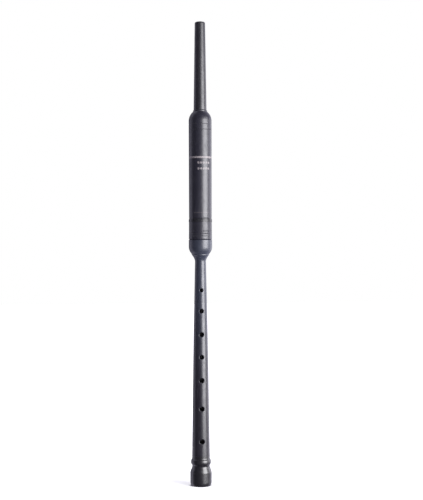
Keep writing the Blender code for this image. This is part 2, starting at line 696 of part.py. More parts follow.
def make_reed(parent, plastic, staple_look, thread_look, whip_look):
    """The double reed that stands in the tenon's seat."""
    make_staple(staple_look, parent)
    make_blade("reed_blade_front", -1, plastic, parent)
    make_blade("reed_blade_back", 1, plastic, parent)
    winding(
        "reed_seat_winding",
        SEAT_THREAD_RADIUS,
        SEAT_THREAD,
        SEAT_PITCH,
        SEAT_TURNS,
        REED_FOOT + STAPLE_FOOT_HEIGHT + GAP,
        thread_look,
        parent,
    )
    winding(
        "reed_whipping",
        WHIP_THREAD_RADIUS,
        WHIP_THREAD,
        WHIP_PITCH,
        WHIP_TURNS,
        BLADE_FOOT - BLADE_ROOT,
        whip_look,
        parent,
    )


def main():
    for old in list(bpy.data.objects):
        bpy.data.objects.remove(old, do_unlink=True)

    black = material("black_plastic", (0.032, 0.031, 0.038), 0.34)
    cool_black = material("cool_black_plastic", (0.034, 0.037, 0.052), 0.34)
    inner_black = material("inner_black_plastic", (0.020, 0.020, 0.022), 0.5)
    rubber = material("black_rubber", (0.015, 0.015, 0.016), 0.7)
    steel = material("brushed_steel", (0.6, 0.6, 0.58), 0.3, 1.0)
    purple = material("purple_reed_plastic", (0.19, 0.10, 0.50), 0.4)
    dark_staple = material("dark_staple_plastic", (0.06, 0.05, 0.04), 0.45)
    amber = material("waxed_amber_thread", (0.72, 0.42, 0.10), 0.6)
    maroon = material("maroon_thread", (0.33, 0.06, 0.12), 0.65)

    reed_group = pivot("reed_axis", REED_FOOT)
    tenon_group = pivot("top_turn_axis", JOINT_FACE)
    top_group = pivot("top_pull_axis", JOINT_FACE, tenon_group)
    sleeve_group = pivot("sleeve_twist_axis", SLEEVE_FOOT, top_group)
    mouthpiece_group = pivot("mouthpiece_pull_axis", DOME_TOP, top_group)

    make_sole(black)
    make_chanter_body(cool_black)
    make_collar(black, top_group)
    make_seam_ring(rubber, top_group)
    make_trap_core(inner_black, top_group)
    make_stop_pin(steel, top_group)
    make_chimney(steel, top_group)
    make_dome_cap(black, top_group)
    make_twist_sleeve(black, sleeve_group)
    make_mouthpiece(black, mouthpiece_group)
    make_seals(rubber, tenon_group, top_group, mouthpiece_group)
    make_reed(reed_group, purple, dark_staple, amber, maroon)


main()
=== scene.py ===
"""Looks of a bagpipe practice chanter: satin black plastic, turned and moulded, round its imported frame.

Shapes are written in millimetres, with heights above the floor, and become metres in solid().
"""

import math

import bpy
import numpy as np
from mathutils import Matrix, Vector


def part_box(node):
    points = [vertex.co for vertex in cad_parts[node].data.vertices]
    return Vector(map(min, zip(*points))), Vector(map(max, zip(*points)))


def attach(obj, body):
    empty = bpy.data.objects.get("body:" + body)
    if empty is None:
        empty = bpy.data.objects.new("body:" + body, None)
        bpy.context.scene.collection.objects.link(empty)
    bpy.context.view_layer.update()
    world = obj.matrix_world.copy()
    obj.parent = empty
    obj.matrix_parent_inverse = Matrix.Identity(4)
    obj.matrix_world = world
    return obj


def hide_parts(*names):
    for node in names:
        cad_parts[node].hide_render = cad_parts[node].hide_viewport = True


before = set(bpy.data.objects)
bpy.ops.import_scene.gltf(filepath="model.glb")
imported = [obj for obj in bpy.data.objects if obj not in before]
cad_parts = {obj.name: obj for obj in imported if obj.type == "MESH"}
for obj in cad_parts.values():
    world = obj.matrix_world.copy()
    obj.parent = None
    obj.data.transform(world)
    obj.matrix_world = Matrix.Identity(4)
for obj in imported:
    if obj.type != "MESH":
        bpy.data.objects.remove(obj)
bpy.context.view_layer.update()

# Sole. A flared foot of satin black plastic, turned with a bead above the waist and bored
# through. It is glued over the lower end of the tube, and the instrument stands on it.

MM = 0.001
COLUMNS = 96

# Steps round a soft corner, how far outside it the holding points lie, and how near two points
# count as one. A turn of FULL_EDGE or more counts as a full edge.
CORNER_STEPS, CORNER_HOLD, SAME_PLACE = 4, 0.12, 1e-4
FULL_EDGE = math.radians(60)


def foot_of(name):
    """Height in millimetres of the lowest point of a node of the frame."""
    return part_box(name)[0].z / MM


def top_of(name):
    """Height in millimetres of the highest point of a node of the frame."""
    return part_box(name)[1].z / MM


def reach_of(name):
    """Outer radius in millimetres of a round node of the frame, from its box."""
    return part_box(name)[1].x / MM


def arc(centre, half_sizes, start, end, steps):
    """Rows (radius, height, 0) of an ellipse: centre plus half sizes times cosine and sine."""
    angle = np.radians(np.linspace(start, end, steps + 1))
    radius = centre[0] + half_sizes[0] * np.cos(angle)
    return np.column_stack((radius, centre[1] + half_sizes[1] * np.sin(angle), np.zeros_like(angle)))


def softened(corners):
    """Closed outline with its corners rounded, and how much each point lies on an edge.

    A corner P between neighbours A and B, with softness s, becomes the curve
    (1-t)^2 P_a + 2 t (1-t) P + t^2 P_b. P_a and P_b lie on the sides, s from P but at most
    0.4 of the side. A holding point on each side keeps the flat beside it flat. The edge
    value is 4 t (1-t) times the turn over 60 degrees, below zero in a hollow corner.
    """
    corners = np.asarray(corners, float)
    before, after = np.roll(corners, 1, axis=0), np.roll(corners, -1, axis=0)
    if np.sum(corners[:, 0] * after[:, 1] - after[:, 0] * corners[:, 1]) < 0:
        corners, before, after = corners[::-1], after[::-1], before[::-1]
    place, soft = corners[:, None, :2], corners[:, 2]
    sides = []
    for neighbour in (before, after):
        way = (neighbour - corners)[:, :2]
        length = np.linalg.norm(way, axis=1)
        way = way / length[:, None]
        cut = np.minimum(soft, 0.4 * length)
        end = place[:, 0] + cut[:, None] * way
        held = end + np.minimum((soft > 0) * CORNER_HOLD, 0.3 * (length - cut))[:, None] * way
        sides.append((way, end[:, None], held[:, None]))
    (back, start, first), (ahead, end, last) = sides
    turn = np.arctan2(back[:, 1] * ahead[:, 0] - back[:, 0] * ahead[:, 1], -(back * ahead).sum(axis=1))
    t = np.linspace(0, 1, CORNER_STEPS + 1)[:, None]
    rounded = (1 - t) ** 2 * start + 2 * t * (1 - t) * place + t**2 * end
    points = np.concatenate((first, rounded, last), axis=1)
    edge = np.zeros(points.shape[:2])
    edge[:, 1:-1] = (4 * t * (1 - t))[:, 0] * np.clip(turn / FULL_EDGE, -1, 1)[:, None]
    edge[soft == 0] = 0
    points, edge = points.reshape(-1, 2), edge.ravel()
    apart = np.linalg.norm(points - np.roll(points, 1, axis=0), axis=1) > SAME_PLACE
    return points[apart], edge[apart]


def in_scene(name, data):
    """A new object in the scene with this mesh, lamp or camera."""
    made = bpy.data.objects.new(name, data)
    bpy.context.collection.objects.link(made)
    return made


def solid(name, points, faces, edge):
    """Closed smooth mesh from points in millimetres, four-sided faces and an edge value a point."""
    used, faces = np.unique(faces, return_inverse=True)
    points, edge = np.reshape(points, (-1, 3))[used], np.ravel(edge)[used]
    mesh = bpy.data.meshes.new(name)
    mesh.from_pydata((points * MM).tolist(), [], faces.reshape(-1, 4).tolist())
    mesh.attributes.new("edge", "FLOAT", "POINT").data.foreach_set("value", edge.astype(np.float32))
    mesh.shade_smooth()
    mesh.validate()
    return in_scene(name, mesh)


def lathe(corners, columns=COLUMNS):
    """Grid of a closed outline spun round the bore: (r cos a, r sin a, z), with a in even steps."""
    outline, edge = softened(corners)
    angle = np.arange(columns) * 2 * math.pi / columns
    radius, height = outline[:, :1], outline[:, 1:]
    grid = np.stack((radius * np.cos(angle), radius * np.sin(angle), height + 0 * angle), axis=-1)
    return grid, np.repeat(edge[:, None], columns, axis=1)


def grid_faces(rows, columns):
    """Faces of a grid that closes both ways, each (row, column), next column, both next, next row."""
    row, column = np.divmod(np.arange(rows * columns), columns)
    beside, above = (column + 1) % columns, (row + 1) % rows
    corners = (row, column), (row, beside), (above, beside), (above, column)
    return np.column_stack([up * columns + across for up, across in corners]).reshape(rows, columns, 4)


def turned(name, corners, columns=COLUMNS):
    """A turned piece: the outline's lathe grid with the faces of a torus."""
    grid, edge = lathe(corners, columns)
    return solid(name, grid, grid_faces(*edge.shape), edge)


def fitted(piece, body, node, look):
    """Gives a piece its material, sets it on its body and lets it stand for its node."""
    piece.data.materials.append(look)
    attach(piece, body)
    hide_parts(node)


def add(tree, kind, inputs=(), **settings):
    """One shader node: its settings, and for each input a number, a colour or a socket to link."""
    node = tree.nodes.new("ShaderNode" + kind)
    for setting, value in settings.items():
        setattr(node, setting, value)
    for key, value in dict(inputs).items():
        if isinstance(value, bpy.types.NodeSocket):
            tree.links.new(value, node.inputs[key])
        else:
            node.inputs[key].default_value = value
    return node


def maths(tree, operation, first, second=0.0, third=0.0):
    """Result socket of one Math node."""
    return add(tree, "Math", {0: first, 1: second, 2: third}, operation=operation).outputs[0]


def graded(tree, value, low, high, to_low=0.0, to_high=1.0):
    """Value eased from one range to another and held at its ends."""
    inputs = {0: value, 1: low, 2: high, 3: to_low, 4: to_high}
    return add(tree, "MapRange", inputs, interpolation_type="SMOOTHSTEP").outputs[0]


def mixed(tree, share, *colours):
    """Colour between two, by share. Each is a socket or (red, green, blue)."""
    first, second = ((*colour, 1) if isinstance(colour, tuple) else colour for colour in colours)
    return add(tree, "Mix", {0: share, 6: first, 7: second}, data_type="RGBA").outputs[2]


def laid(tree, base, mask, most, colour):
    """Base colour under another one, which a mask lets through, at most by a share."""
    return mixed(tree, maths(tree, "MULTIPLY", mask, most), base, colour)


def noise(tree, place, scale, detail, **finer):
    """Value of noise at a place, with its scale in features a metre."""
    return add(tree, "TexNoise", {"Vector": place, "Scale": scale, "Detail": detail, **finer}).outputs[0]


def height_at(tree, place):
    """Height above the floor of a place, in metres."""
    return add(tree, "SeparateXYZ", {0: place}).outputs["Z"]


def group(name, values, masks):
    """An empty node group for a place and values: its tree, its inputs and the masks it puts out."""
    tree = bpy.data.node_groups.new(name, "ShaderNodeTree")
    tree.interface.new_socket("Place", in_out="INPUT", socket_type="NodeSocketVector")
    for way, sockets in (("INPUT", values), ("OUTPUT", masks)):
        for socket in sockets:
            tree.interface.new_socket(socket, in_out=way, socket_type="NodeSocketFloat")
    return tree, tree.nodes.new("NodeGroupInput").outputs, tree.nodes.new("NodeGroupOutput").inputs


def use(tree, made, place, **values):
    """Outputs of a node group that is placed in a material with its own values."""
    inputs = {"Place": place, **{key.replace("_", " "): value for key, value in values.items()}}
    return add(tree, "Group", inputs, node_tree=made).outputs


def turning_marks():
    """Fine rings that the lathe leaves: noise along the bore alone, bent a little round it."""
    tree, given, wanted = group("turning_marks", ["Rings per mm"], ["Height"])
    lengthways = height_at(tree, given["Place"])
    bend = noise(tree, given["Place"], 180.0, 1.0)
    along = maths(tree, "MULTIPLY", lengthways, 1 / MM)
    along = maths(tree, "MULTIPLY_ADD", bend, 0.5, along)
    fine_along = maths(tree, "MULTIPLY", along, given["Rings per mm"])
    fine = add(tree, "TexNoise", {"W": fine_along, "Scale": 1.0, "Detail": 2.0}, noise_dimensions="1D")
    slow = add(tree, "TexNoise", {"W": along, "Scale": 0.3, "Detail": 1.0}, noise_dimensions="1D")
    height = maths(tree, "MULTIPLY_ADD", slow.outputs[0], 0.5, fine.outputs[0])
    tree.links.new(height, wanted["Height"])
    return tree


def handling():
    """Where hands and cases have been: soft smudges, and thin short scratches in a few places."""
    tree, given, wanted = group("handling", [], ["Smudge", "Scratch"])
    place = given["Place"]
    tree.links.new(graded(tree, noise(tree, place, 140.0, 5.0, Roughness=0.6), 0.38, 0.68), wanted["Smudge"])
    drawn = add(tree, "Mapping", {"Vector": place, "Rotation": (0.25, 0.1, 0.0), "Scale": (1, 1, 0.04)})
    hair = graded(tree, noise(tree, drawn.outputs[0], 2600.0, 0.0), 0.70, 0.76)
    area = graded(tree, noise(tree, place, 55.0, 1.0), 0.52, 0.64)
    tree.links.new(maths(tree, "MULTIPLY", hair, area), wanted["Scratch"])
    return tree


def edge_wear():
    """Rubbed outer edges and dust in hollow ones, from the edge attribute broken up by noise. On the holes'
    rims the rubbed mask is also a painted highlight. On walls marked dusty all over, the holes' shafts and
    the narrow bore, the dust mask is also painted light.
    """
    tree, given, wanted = group("edge_wear", ["Edge"], ["Rubbed and rim light", "Dust and hole light"])
    patchy = noise(tree, given["Place"], 420.0, 4.0)
    for mask, gain, lift, low, high in (("Rubbed and rim light", 1.6, -0.2, 0.25, 0.85), ("Dust and hole light", -1.4, 0.0, 0.15, 0.9)):
        broken = maths(tree, "MULTIPLY", given["Edge"], maths(tree, "MULTIPLY_ADD", patchy, gain, lift))
        tree.links.new(graded(tree, broken, low, high), wanted[mask])
    return tree


TURNING, HANDLING, WEAR = turning_marks(), handling(), edge_wear()
# The pale dust colour is dust in hollows, and on the holes' shafts it is also painted light. The rubbed
# colour is wear on edges, and on the holes' rims it is also a painted highlight.
INK, DUST_AND_HOLE_LIGHT = (0.165, 0.148, 0.150), (0.16, 0.155, 0.15)
SCRATCHED, RUBBED_AND_RIM_LIGHT = (0.10, 0.10, 0.11), (0.075, 0.075, 0.085)

# Over how many millimetres above the top of the painted light ramp the plastic gets duller, and by how much
# roughness.
GRIP_FADE, GRIP_DULL = 12.0, 0.05


def begun(name):
    """A new material: itself, its tree and the place on the piece, in metres."""
    made = bpy.data.materials.new(name)
    made.use_nodes = True
    return made, made.node_tree, add(made.node_tree, "TexCoord").outputs["Object"]


def finished(tree, base, roughness, height, relief, **values):
    """Gives the shader its colour, roughness, relief in millimetres and other single values."""
    shader = tree.nodes["Principled BSDF"]
    bump = add(tree, "Bump", {"Height": height, "Strength": 1.0, "Distance": relief * MM}).outputs[0]
    for socket, value in (("Base Color", base), ("Roughness", roughness), ("Normal", bump)):
        tree.links.new(value, shader.inputs[socket])
    for socket, value in values.items():
        shader.inputs[socket.replace("_", " ")].default_value = value


def worn(tree, place):
    """Masks of rubbed edges and dust, which on the holes also paint light, from the piece's own edge
    attribute.
    """
    return use(tree, WEAR, place, Edge=add(tree, "Attribute", attribute_name="edge").outputs["Fac"])


def plastic(name, dark, pale, rough=0.32, rings=5.0, light_ramp=None, ink=None, gloss=1.52):
    """Satin black plastic: mottled base, turning marks, smudges, scratches, rubbed edges and dust, which on
    the holes' rims and shafts also paint light.

    light_ramp, where given, is (colour, foot, top). Between two heights the base turns to
    that colour, a painted light that makes the plastic paler higher up. Above them, where
    hands hold it, the surface is a little duller. ink, where given, makes the mask of a pale
    print from the tree and the place. gloss sets how much the surface reflects, as an index
    of refraction.
    """
    made, tree, place = begun(name)
    hands, wear = use(tree, HANDLING, place), worn(tree, place)
    marks = use(tree, TURNING, place, Rings_per_mm=rings)["Height"]
    mottle = noise(tree, place, 320.0, 6.0)
    base = mixed(tree, graded(tree, mottle, 0.3, 0.7), dark, pale)
    # Painted light: between the two heights the base turns to the ramp's paler colour.
    if light_ramp:
        colour, low, high = light_ramp
        height = height_at(tree, place)
        ramp_colour = mixed(tree, mottle, colour, tuple(0.9 * np.array(colour)))
        base = mixed(tree, graded(tree, height, low * MM, high * MM), base, ramp_colour)
    base = laid(tree, base, hands["Scratch"], 0.2, SCRATCHED)
    # Rubbed edges and dust, which on the holes' rims and shafts also paint light.
    base = laid(tree, base, wear["Rubbed and rim light"], 0.3, RUBBED_AND_RIM_LIGHT)
    base = laid(tree, base, wear["Dust and hole light"], 0.35, DUST_AND_HOLE_LIGHT)
    roughness = graded(tree, hands["Smudge"], 0.0, 1.0, rough - 0.02, rough + 0.06)
    roughness = maths(tree, "MULTIPLY_ADD", wear["Rubbed and rim light"], 0.08, roughness)
    if light_ramp:
        held = graded(tree, height, high * MM, (high + GRIP_FADE) * MM)
        roughness = maths(tree, "MULTIPLY_ADD", held, GRIP_DULL, roughness)
    if ink:
        printed = ink(tree, place)
        base = mixed(tree, printed, base, INK)
        roughness = maths(tree, "MULTIPLY_ADD", printed, 0.12, roughness)
    finished(tree, base, roughness, marks, 0.0007, IOR=gloss, Coat_Weight=0.25, Coat_Roughness=0.45)
    return made


JOINT_GAP, HAIRLINE = 0.3, 0.05
SOLE_BORE, SOLE_FLOOR, SOLE_SOCKET = 3.2, 4.0, 6.8
WAIST_RADIUS, WAIST_HEIGHT = 9.3, 20.3
BEAD_HEIGHT, BEAD_HALF, BEAD_RISE = 25.1, 2.95, 1.25
FLARE_HEIGHT, EDGE_HEIGHT, BOTTOM_RADIUS = 14.3, 3.2, 10.35
# The sole's dark and pale base colours are a painted shade. They are darker than the other black plastic, for
# the light that falls off towards the floor.
FOOT_SHADED_DARK, FOOT_SHADED_PALE, FOOT_GLOSS = (0.0080, 0.0075, 0.0098), (0.0102, 0.0095, 0.0124), 1.62


def closed_top(name):
    """Top of a node of the frame, raised until a hairline parts it from the piece above."""
    return top_of(name) + JOINT_GAP - HAIRLINE


sole_radius, sole_top = reach_of("sole"), top_of("sole")
sole_corners = [
    (SOLE_BORE, 0, 0.4),
    (BOTTOM_RADIUS, 0, 0.2),
    (sole_radius - 0.42, EDGE_HEIGHT / 2, 0.6),
    (sole_radius, EDGE_HEIGHT, 0.6),
    (sole_radius, FLARE_HEIGHT - 0.5, 0.08),
    (sole_radius - 0.12, FLARE_HEIGHT - 0.35, 0.06),
    (sole_radius - 0.10, FLARE_HEIGHT, 0.10),
    (sole_radius - 0.62, FLARE_HEIGHT + 1.7, 1.2),
    (WAIST_RADIUS + 0.2, WAIST_HEIGHT - 1.2, 0.6),
    (WAIST_RADIUS - 0.14, WAIST_HEIGHT, 0.3),
    (WAIST_RADIUS - 0.12, WAIST_HEIGHT + 0.7, 0.25),
    *arc((WAIST_RADIUS - 0.1, BEAD_HEIGHT), (BEAD_RISE + 0.1, BEAD_HALF), -76, 66, 20),
    (WAIST_RADIUS + 0.16, BEAD_HEIGHT + BEAD_HALF - 0.05, 0.12),
    (WAIST_RADIUS + 0.10, BEAD_HEIGHT + BEAD_HALF + 0.25, 0.3),
    (WAIST_RADIUS, sole_top - 1.9, 0.5),
    (WAIST_RADIUS, closed_top("sole"), 0.07),
    (SOLE_SOCKET, closed_top("sole"), 0.2),
    (SOLE_SOCKET, SOLE_FLOOR, 0.2),
    (SOLE_BORE, SOLE_FLOOR, 0.2),
]
# The sole's material carries that painted shade.
sole_shaded_black = plastic("sole_shaded_black_plastic", FOOT_SHADED_DARK, FOOT_SHADED_PALE, gloss=FOOT_GLOSS)
fitted(turned("flared_sole", sole_corners), "lower_section", "sole", sole_shaded_black)


# Lower section. One long piece turned from black plastic: the tenon with the
# reed's seat, the cup, the neck and the tapered tube, drilled with seven finger holes in front
# and a thumb hole behind, whose rims are eased for the fingers. Its colour is a painted shade
# at the foot, darker than the other black plastic. Towards the cup it is painted light, paler
# and bluer.

BORE = 2.75
TENON_RADIUS, TENON_LENGTH, LOWER_TENON = 8.0, 21.5, 6.5
CUP_RADIUS, CUP_HEIGHT, CUP_WALL, CUP_ROUND, CUP_DROP = 12.3, 22.8, 7.3, 9.4, 10.1
LEDGE_RADIUS, LEDGE_FOOT, LEDGE_TOP, LEDGE_STEP = 9.1, 6.6, 7.5, 0.5
COVE_FOOT, COVE_TOP, COVE_START, COVE_END = 0.5, 6.45, 12, 40.4
NECK_RADIUS, FOOT_RADIUS, SWELL = 5.8, 9.3, 0.3
SEAT_RADIUS, SEAT_DEPTH = 4.5, 12.4
SEAL_EDGE, SEAL_DEPTH, SEAL_WIDTH = 6.0, 1.3, 1.8

# Each hole's middle below the joint's face, and its width.
FINGER_HOLES = (53.2, 4.0), (75.1, 4.8), (99.9, 5.2), (123.6, 4.9), (148.2, 5.3), (178.1, 5.4), (212.5, 5.6)
THUMB_HOLE = (43.6, 4.4)
FRONT, BACK, LEFT = 1.5 * math.pi, 0.5 * math.pi, math.pi

# A hole's largest radius at the bore, by how much it is narrower inside its rim, and the rim.
HOLE_AT_BORE, HOLE_TIGHTER, RIM = 2.3, 0.4, 0.7

# The edge value of a wall that is dusty all over and so painted paler, for the light that falls into the
# holes, and how far outside the bore it still holds.
DUSTY_AND_LIT, DUSTY_AND_LIT_REACH = -1.05, 0.2

# A window is the part of a wall's grid that a hole takes up: half its columns, half its rows
# and how far apart its rows are. Walls inside the radius that parts them are the bore's.
FINGER_WINDOW, BORE_WINDOW, BORE_PART = (12, 10, 0.45), (17, 5, 0.54), 4.0
OUTER_SPACING, BORE_SPACING, WINDOW_GAP, ROW_SLACK = 2.0, 6.0, 0.2, 1e-3

# Where a hole's rings of points lie: from the outer window to the rim, round the rim, down the
# shaft, and from its foot to the bore's window.
SKIN_SHARES, RIM_TURNS = (0.25, 0.5, 0.75, 0.93, 1.0), np.radians((22.5, 45.0, 67.5, 90.0))
SHAFT_SHARES, BORE_SHARES = (0.06, 0.3, 0.55, 0.8, 0.96, 1.0), (0.1, 0.5)

body_foot, tenon_top = foot_of("chanter_body"), top_of("chanter_body")
joint_face = tenon_top - TENON_LENGTH
neck = joint_face - CUP_HEIGHT
tube_foot = sole_top + JOINT_GAP
reed_seat = tenon_top - SEAT_DEPTH


def tube_radius(height):
    """Outer radius of the tube: straight taper plus a slight swell, sin(pi share) to the 1.5."""
    share = np.clip((neck - height) / (neck - tube_foot), 0, 1)
    swell = SWELL * np.sin(math.pi * share) ** 1.5
    return NECK_RADIUS + share * (FOOT_RADIUS - NECK_RADIUS) + swell


def window_rows(height, window):
    """Heights of one window's rows, evenly above and below its middle."""
    _, half_rows, pitch = window
    return height + pitch * np.arange(-half_rows, half_rows + 1)


def wall_rows(low, high, spacing, heights, window):
    """Heights of a wall's rows: even ones between the windows, and each window's own rows."""
    even = np.linspace(low, high, int((high - low) / spacing) + 1)
    windows = [window_rows(height, window) for height in heights]
    for rows in windows:
        even = even[(even < rows[0] - WINDOW_GAP) | (even > rows[-1] + WINDOW_GAP)]
    return np.sort(np.concatenate((even, *windows)))


def plain_rows(radius, heights):
    """Corners of a stretch of wall that keeps its rows, without softness."""
    return np.column_stack((radius + 0 * heights, heights, 0 * heights))


def seal_groove(radius, height, depth):
    """Corners of a square groove for a sealing ring, from its lower edge to its upper edge."""
    lower, upper, floor = height - SEAL_WIDTH / 2, height + SEAL_WIDTH / 2, radius - depth
    return (radius, lower, 0.12), (floor, lower, 0.1), (floor, upper, 0.1), (radius, upper, 0.12)


def window_ring(columns, low, high, middle, half_columns):
    """Grid indices (row, column) round a window: along its foot, up, back along its top, down."""
    left, right = middle - half_columns, middle + half_columns
    across, up = np.arange(left, right), np.arange(low, high)
    row = np.concatenate((0 * across + low, up, 0 * across + high, up[::-1] + 1))
    column = np.concatenate((across, 0 * up + right, across[::-1] + 1, 0 * up + left))
    return row * columns + column % columns


def turn_of(ring):
    """Angle of each point (x, z) of a ring round the drill, without jumps."""
    return np.unwrap(np.arctan2(ring[:, 1], ring[:, 0]))


def drill_holes(grid, edge, holes):
    """Points, faces and edge values with round holes, each one continuous with both walls.

    Each hole gives its height, heading, radius at the skin, radius at the bore, rim, the
    outer and inner wall's windows and the radius that parts the walls. In a window, points
    are blended in (x, z) from the window's ring to the hole's circle and lifted onto the
    wall by y = sqrt(R(z)^2 - x^2). The rim is a quarter round: circle radius
    a + f (1 - sin b), depth f (1 - cos b). The shaft blends circle angle, radius and depth.
    The outline runs down one wall and up the other, so the inner ring is taken backwards.
    """
    faces = grid_faces(*edge.shape)
    points, edges, shown = [grid.reshape(-1, 3)], [edge.ravel()], []
    keep = np.ones(edge.shape, bool)
    count, columns = edge.size, edge.shape[1]
    radius, height = np.hypot(grid[:, 0, 0], grid[:, 0, 1]), grid[:, 0, 2]
    for z, heading, skin, bore, rim, *windows, parting in holes:
        middle = int(round(heading / (2 * math.pi) * columns))
        sideways = np.array((-math.sin(heading), math.cos(heading)))
        outwards = np.array((math.cos(heading), math.sin(heading)))
        rings, flats, walls = [], [], []
        for (half_columns, half_rows, pitch), on_wall in zip(windows, (radius > parting, radius <= parting)):
            rows = np.flatnonzero(on_wall & (np.abs(height - z) < half_rows * pitch + ROW_SLACK))
            low, high = rows[0], rows[-1]
            keep[low:high, np.arange(middle - half_columns, middle + half_columns) % columns] = False
            rings.append(window_ring(columns, low, high, middle, half_columns))
            spots = points[0][rings[-1]]
            flats.append(np.column_stack((spots[:, :2] @ sideways, spots[:, 2] - z)))
            rows = rows[np.argsort(height[rows])]
            walls.append((height[rows], radius[rows]))

        def depth_of(wall, x, up):
            """Distance of a wall from the bore's axis at (x, z), along the drill."""
            return np.sqrt(np.interp(up + z, *wall) ** 2 - x**2)

        outer_flat, inner_flat = flats[0], flats[1][::-1]
        outer_angle, inner_angle = turn_of(outer_flat), turn_of(inner_flat)
        nearest = np.argmin(np.abs(np.exp(1j * inner_angle) - np.exp(1j * outer_angle[0])))
        inner_ring = np.roll(rings[1][::-1], -nearest)
        inner_flat = np.roll(inner_flat, -nearest, axis=0)
        inner_angle = turn_of(inner_flat)
        inner_angle += 2 * math.pi * np.round((outer_angle[0] - inner_angle[0]) / (2 * math.pi))

        layers = []
        round_drill = np.column_stack((np.cos(outer_angle), np.sin(outer_angle)))
        circle = (skin + rim) * round_drill
        for share in SKIN_SHARES:
            spot = (1 - share) * outer_flat + share * circle
            layers.append((spot, depth_of(walls[0], *spot.T), 0.0))
        # The rim's edge value rubs it paler: wear, and a painted highlight where light catches the rim.
        for turn in RIM_TURNS:
            spot = (skin + rim * (1 - math.sin(turn))) * round_drill
            rim_depth = depth_of(walls[0], *spot.T) - rim * (1 - math.cos(turn))
            layers.append((spot, rim_depth, math.sin(2 * turn)))
        # The shaft's walls are dusty all over: pale dust that also paints the light falling into the hole.
        for share in SHAFT_SHARES:
            angle = (1 - share) * outer_angle + share * inner_angle
            spot = ((1 - share) * skin + share * bore) * np.column_stack((np.cos(angle), np.sin(angle)))
            bore_depth = depth_of(walls[1], spot[:, 0] * bore / np.hypot(*spot.T), spot[:, 1])
            layers.append((spot, (1 - share) * rim_depth + share * bore_depth, DUSTY_AND_LIT))
        circle = spot
        for share in BORE_SHARES:
            spot = (1 - share) * circle + share * inner_flat
            layers.append((spot, depth_of(walls[1], *spot.T), 0.0))

        indices = [rings[0]]
        for spot, depth, value in layers:
            level = spot[:, :1] * sideways + depth[:, None] * outwards
            points.append(np.column_stack((level, spot[:, 1] + z)))
            edges.append(np.full(len(spot), value))
            indices.append(count + np.arange(len(spot)))
            count += len(spot)
        for outer, inner in zip(indices, (*indices[1:], inner_ring)):
            shown.append(np.column_stack((outer, np.roll(outer, -1), np.roll(inner, -1), inner)))
    return np.concatenate(points), np.concatenate((faces[keep], *shown)), np.concatenate(edges)


def drilled(name, corners, holes, cut=None):
    """A turned piece with holes and perhaps a cut, whose narrow bore is dusty as its holes are: pale dust
    that also paints the light falling into them.
    """
    grid, edge = lathe(corners)
    edge[np.hypot(grid[..., 0], grid[..., 1]) < BORE + DUSTY_AND_LIT_REACH] = DUSTY_AND_LIT
    if cut:
        cut(grid)
    return solid(name, *drill_holes(grid, edge, holes))


holes = [
    (
        joint_face - below,
        heading,
        (across - HOLE_TIGHTER) / 2,
        min(across / 2, HOLE_AT_BORE),
        RIM,
        FINGER_WINDOW,
        BORE_WINDOW,
        BORE_PART,
    )
    for heading, row in ((FRONT, FINGER_HOLES), (BACK, (THUMB_HOLE,)))
    for below, across in row
]
hole_heights = sorted(hole[0] for hole in holes)
outer_rows = wall_rows(tube_foot + 0.8, neck, OUTER_SPACING, hole_heights, FINGER_WINDOW)
bore_rows = wall_rows(body_foot + 1.0, reed_seat - 1.0, BORE_SPACING, hole_heights, BORE_WINDOW)
wall_foot, round_centre = joint_face - CUP_WALL, CUP_RADIUS - CUP_ROUND
ledge_angle = math.degrees(math.acos((LEDGE_RADIUS + LEDGE_STEP - round_centre) / CUP_ROUND))
cove_start, cove_end = math.radians(COVE_START), math.radians(COVE_END)
cove_radius = (COVE_TOP - COVE_FOOT) / (math.sin(cove_end) - math.sin(cove_start))
cove_middle = (
    NECK_RADIUS + cove_radius * math.cos(cove_start),
    neck + COVE_FOOT - cove_radius * math.sin(cove_start),
)
body_corners = [
    *plain_rows(BORE, bore_rows[::-1]),
    (BORE, body_foot, 0.2),
    (LOWER_TENON, body_foot, 0.3),
    (LOWER_TENON, tube_foot, 0.2),
    (FOOT_RADIUS, tube_foot, 0.07),
    *plain_rows(tube_radius(outer_rows), outer_rows),
    *arc(cove_middle, (cove_radius, cove_radius), 180 - COVE_START, 180 - COVE_END, 14)[1:],
    (LEDGE_RADIUS - 0.03, neck + LEDGE_FOOT, 0.1),
    (LEDGE_RADIUS, neck + LEDGE_TOP, 0.15),
    *arc((round_centre, wall_foot), (CUP_ROUND, CUP_DROP), -ledge_angle, 0, 24),
    (CUP_RADIUS, joint_face, 0.35),
    (TENON_RADIUS, joint_face, 0.2),
    *seal_groove(TENON_RADIUS, joint_face + SEAL_EDGE, SEAL_DEPTH),
    *seal_groove(TENON_RADIUS, tenon_top - SEAL_EDGE, SEAL_DEPTH),
    (TENON_RADIUS, tenon_top, 0.4),
    (SEAT_RADIUS, tenon_top, 0.35),
    (SEAT_RADIUS, reed_seat, 0.2),
    (BORE, reed_seat, 0.2),
]
# Painted light and shade on the tube. Its base is darker than the other black plastic, a painted shade at the
# foot. From 60 mm above the tube's foot up to the neck it turns paler and bluer, a painted light for the
# stronger light higher up.
COOL_LIT_TOP, LIGHT_RAMP_FOOT = (0.0235, 0.0275, 0.043), 60
COOL_SHADED_DARK, COOL_SHADED_PALE = (0.0098, 0.0086, 0.0142), (0.0118, 0.0106, 0.0168)
cool_light_ramp = (COOL_LIT_TOP, tube_foot + LIGHT_RAMP_FOOT, neck)
cool_black_painted_light = plastic("cool_black_plastic", COOL_SHADED_DARK, COOL_SHADED_PALE, 0.355, light_ramp=cool_light_ramp, gloss=1.55)
tube = drilled("tapered_tube", body_corners, holes)
fitted(tube, "lower_section", "chanter_body", cool_black_painted_light)


# Tenon seals. Two black rubber rings of round section, stretched into the tenon's grooves. They
# make the push-fit joint airtight, and stay on the tenon when the top section is pulled off.

SEAL_GAP, SEAL_FLAT = 0.25, 0.97
SOCKET_RADIUS = 8.3


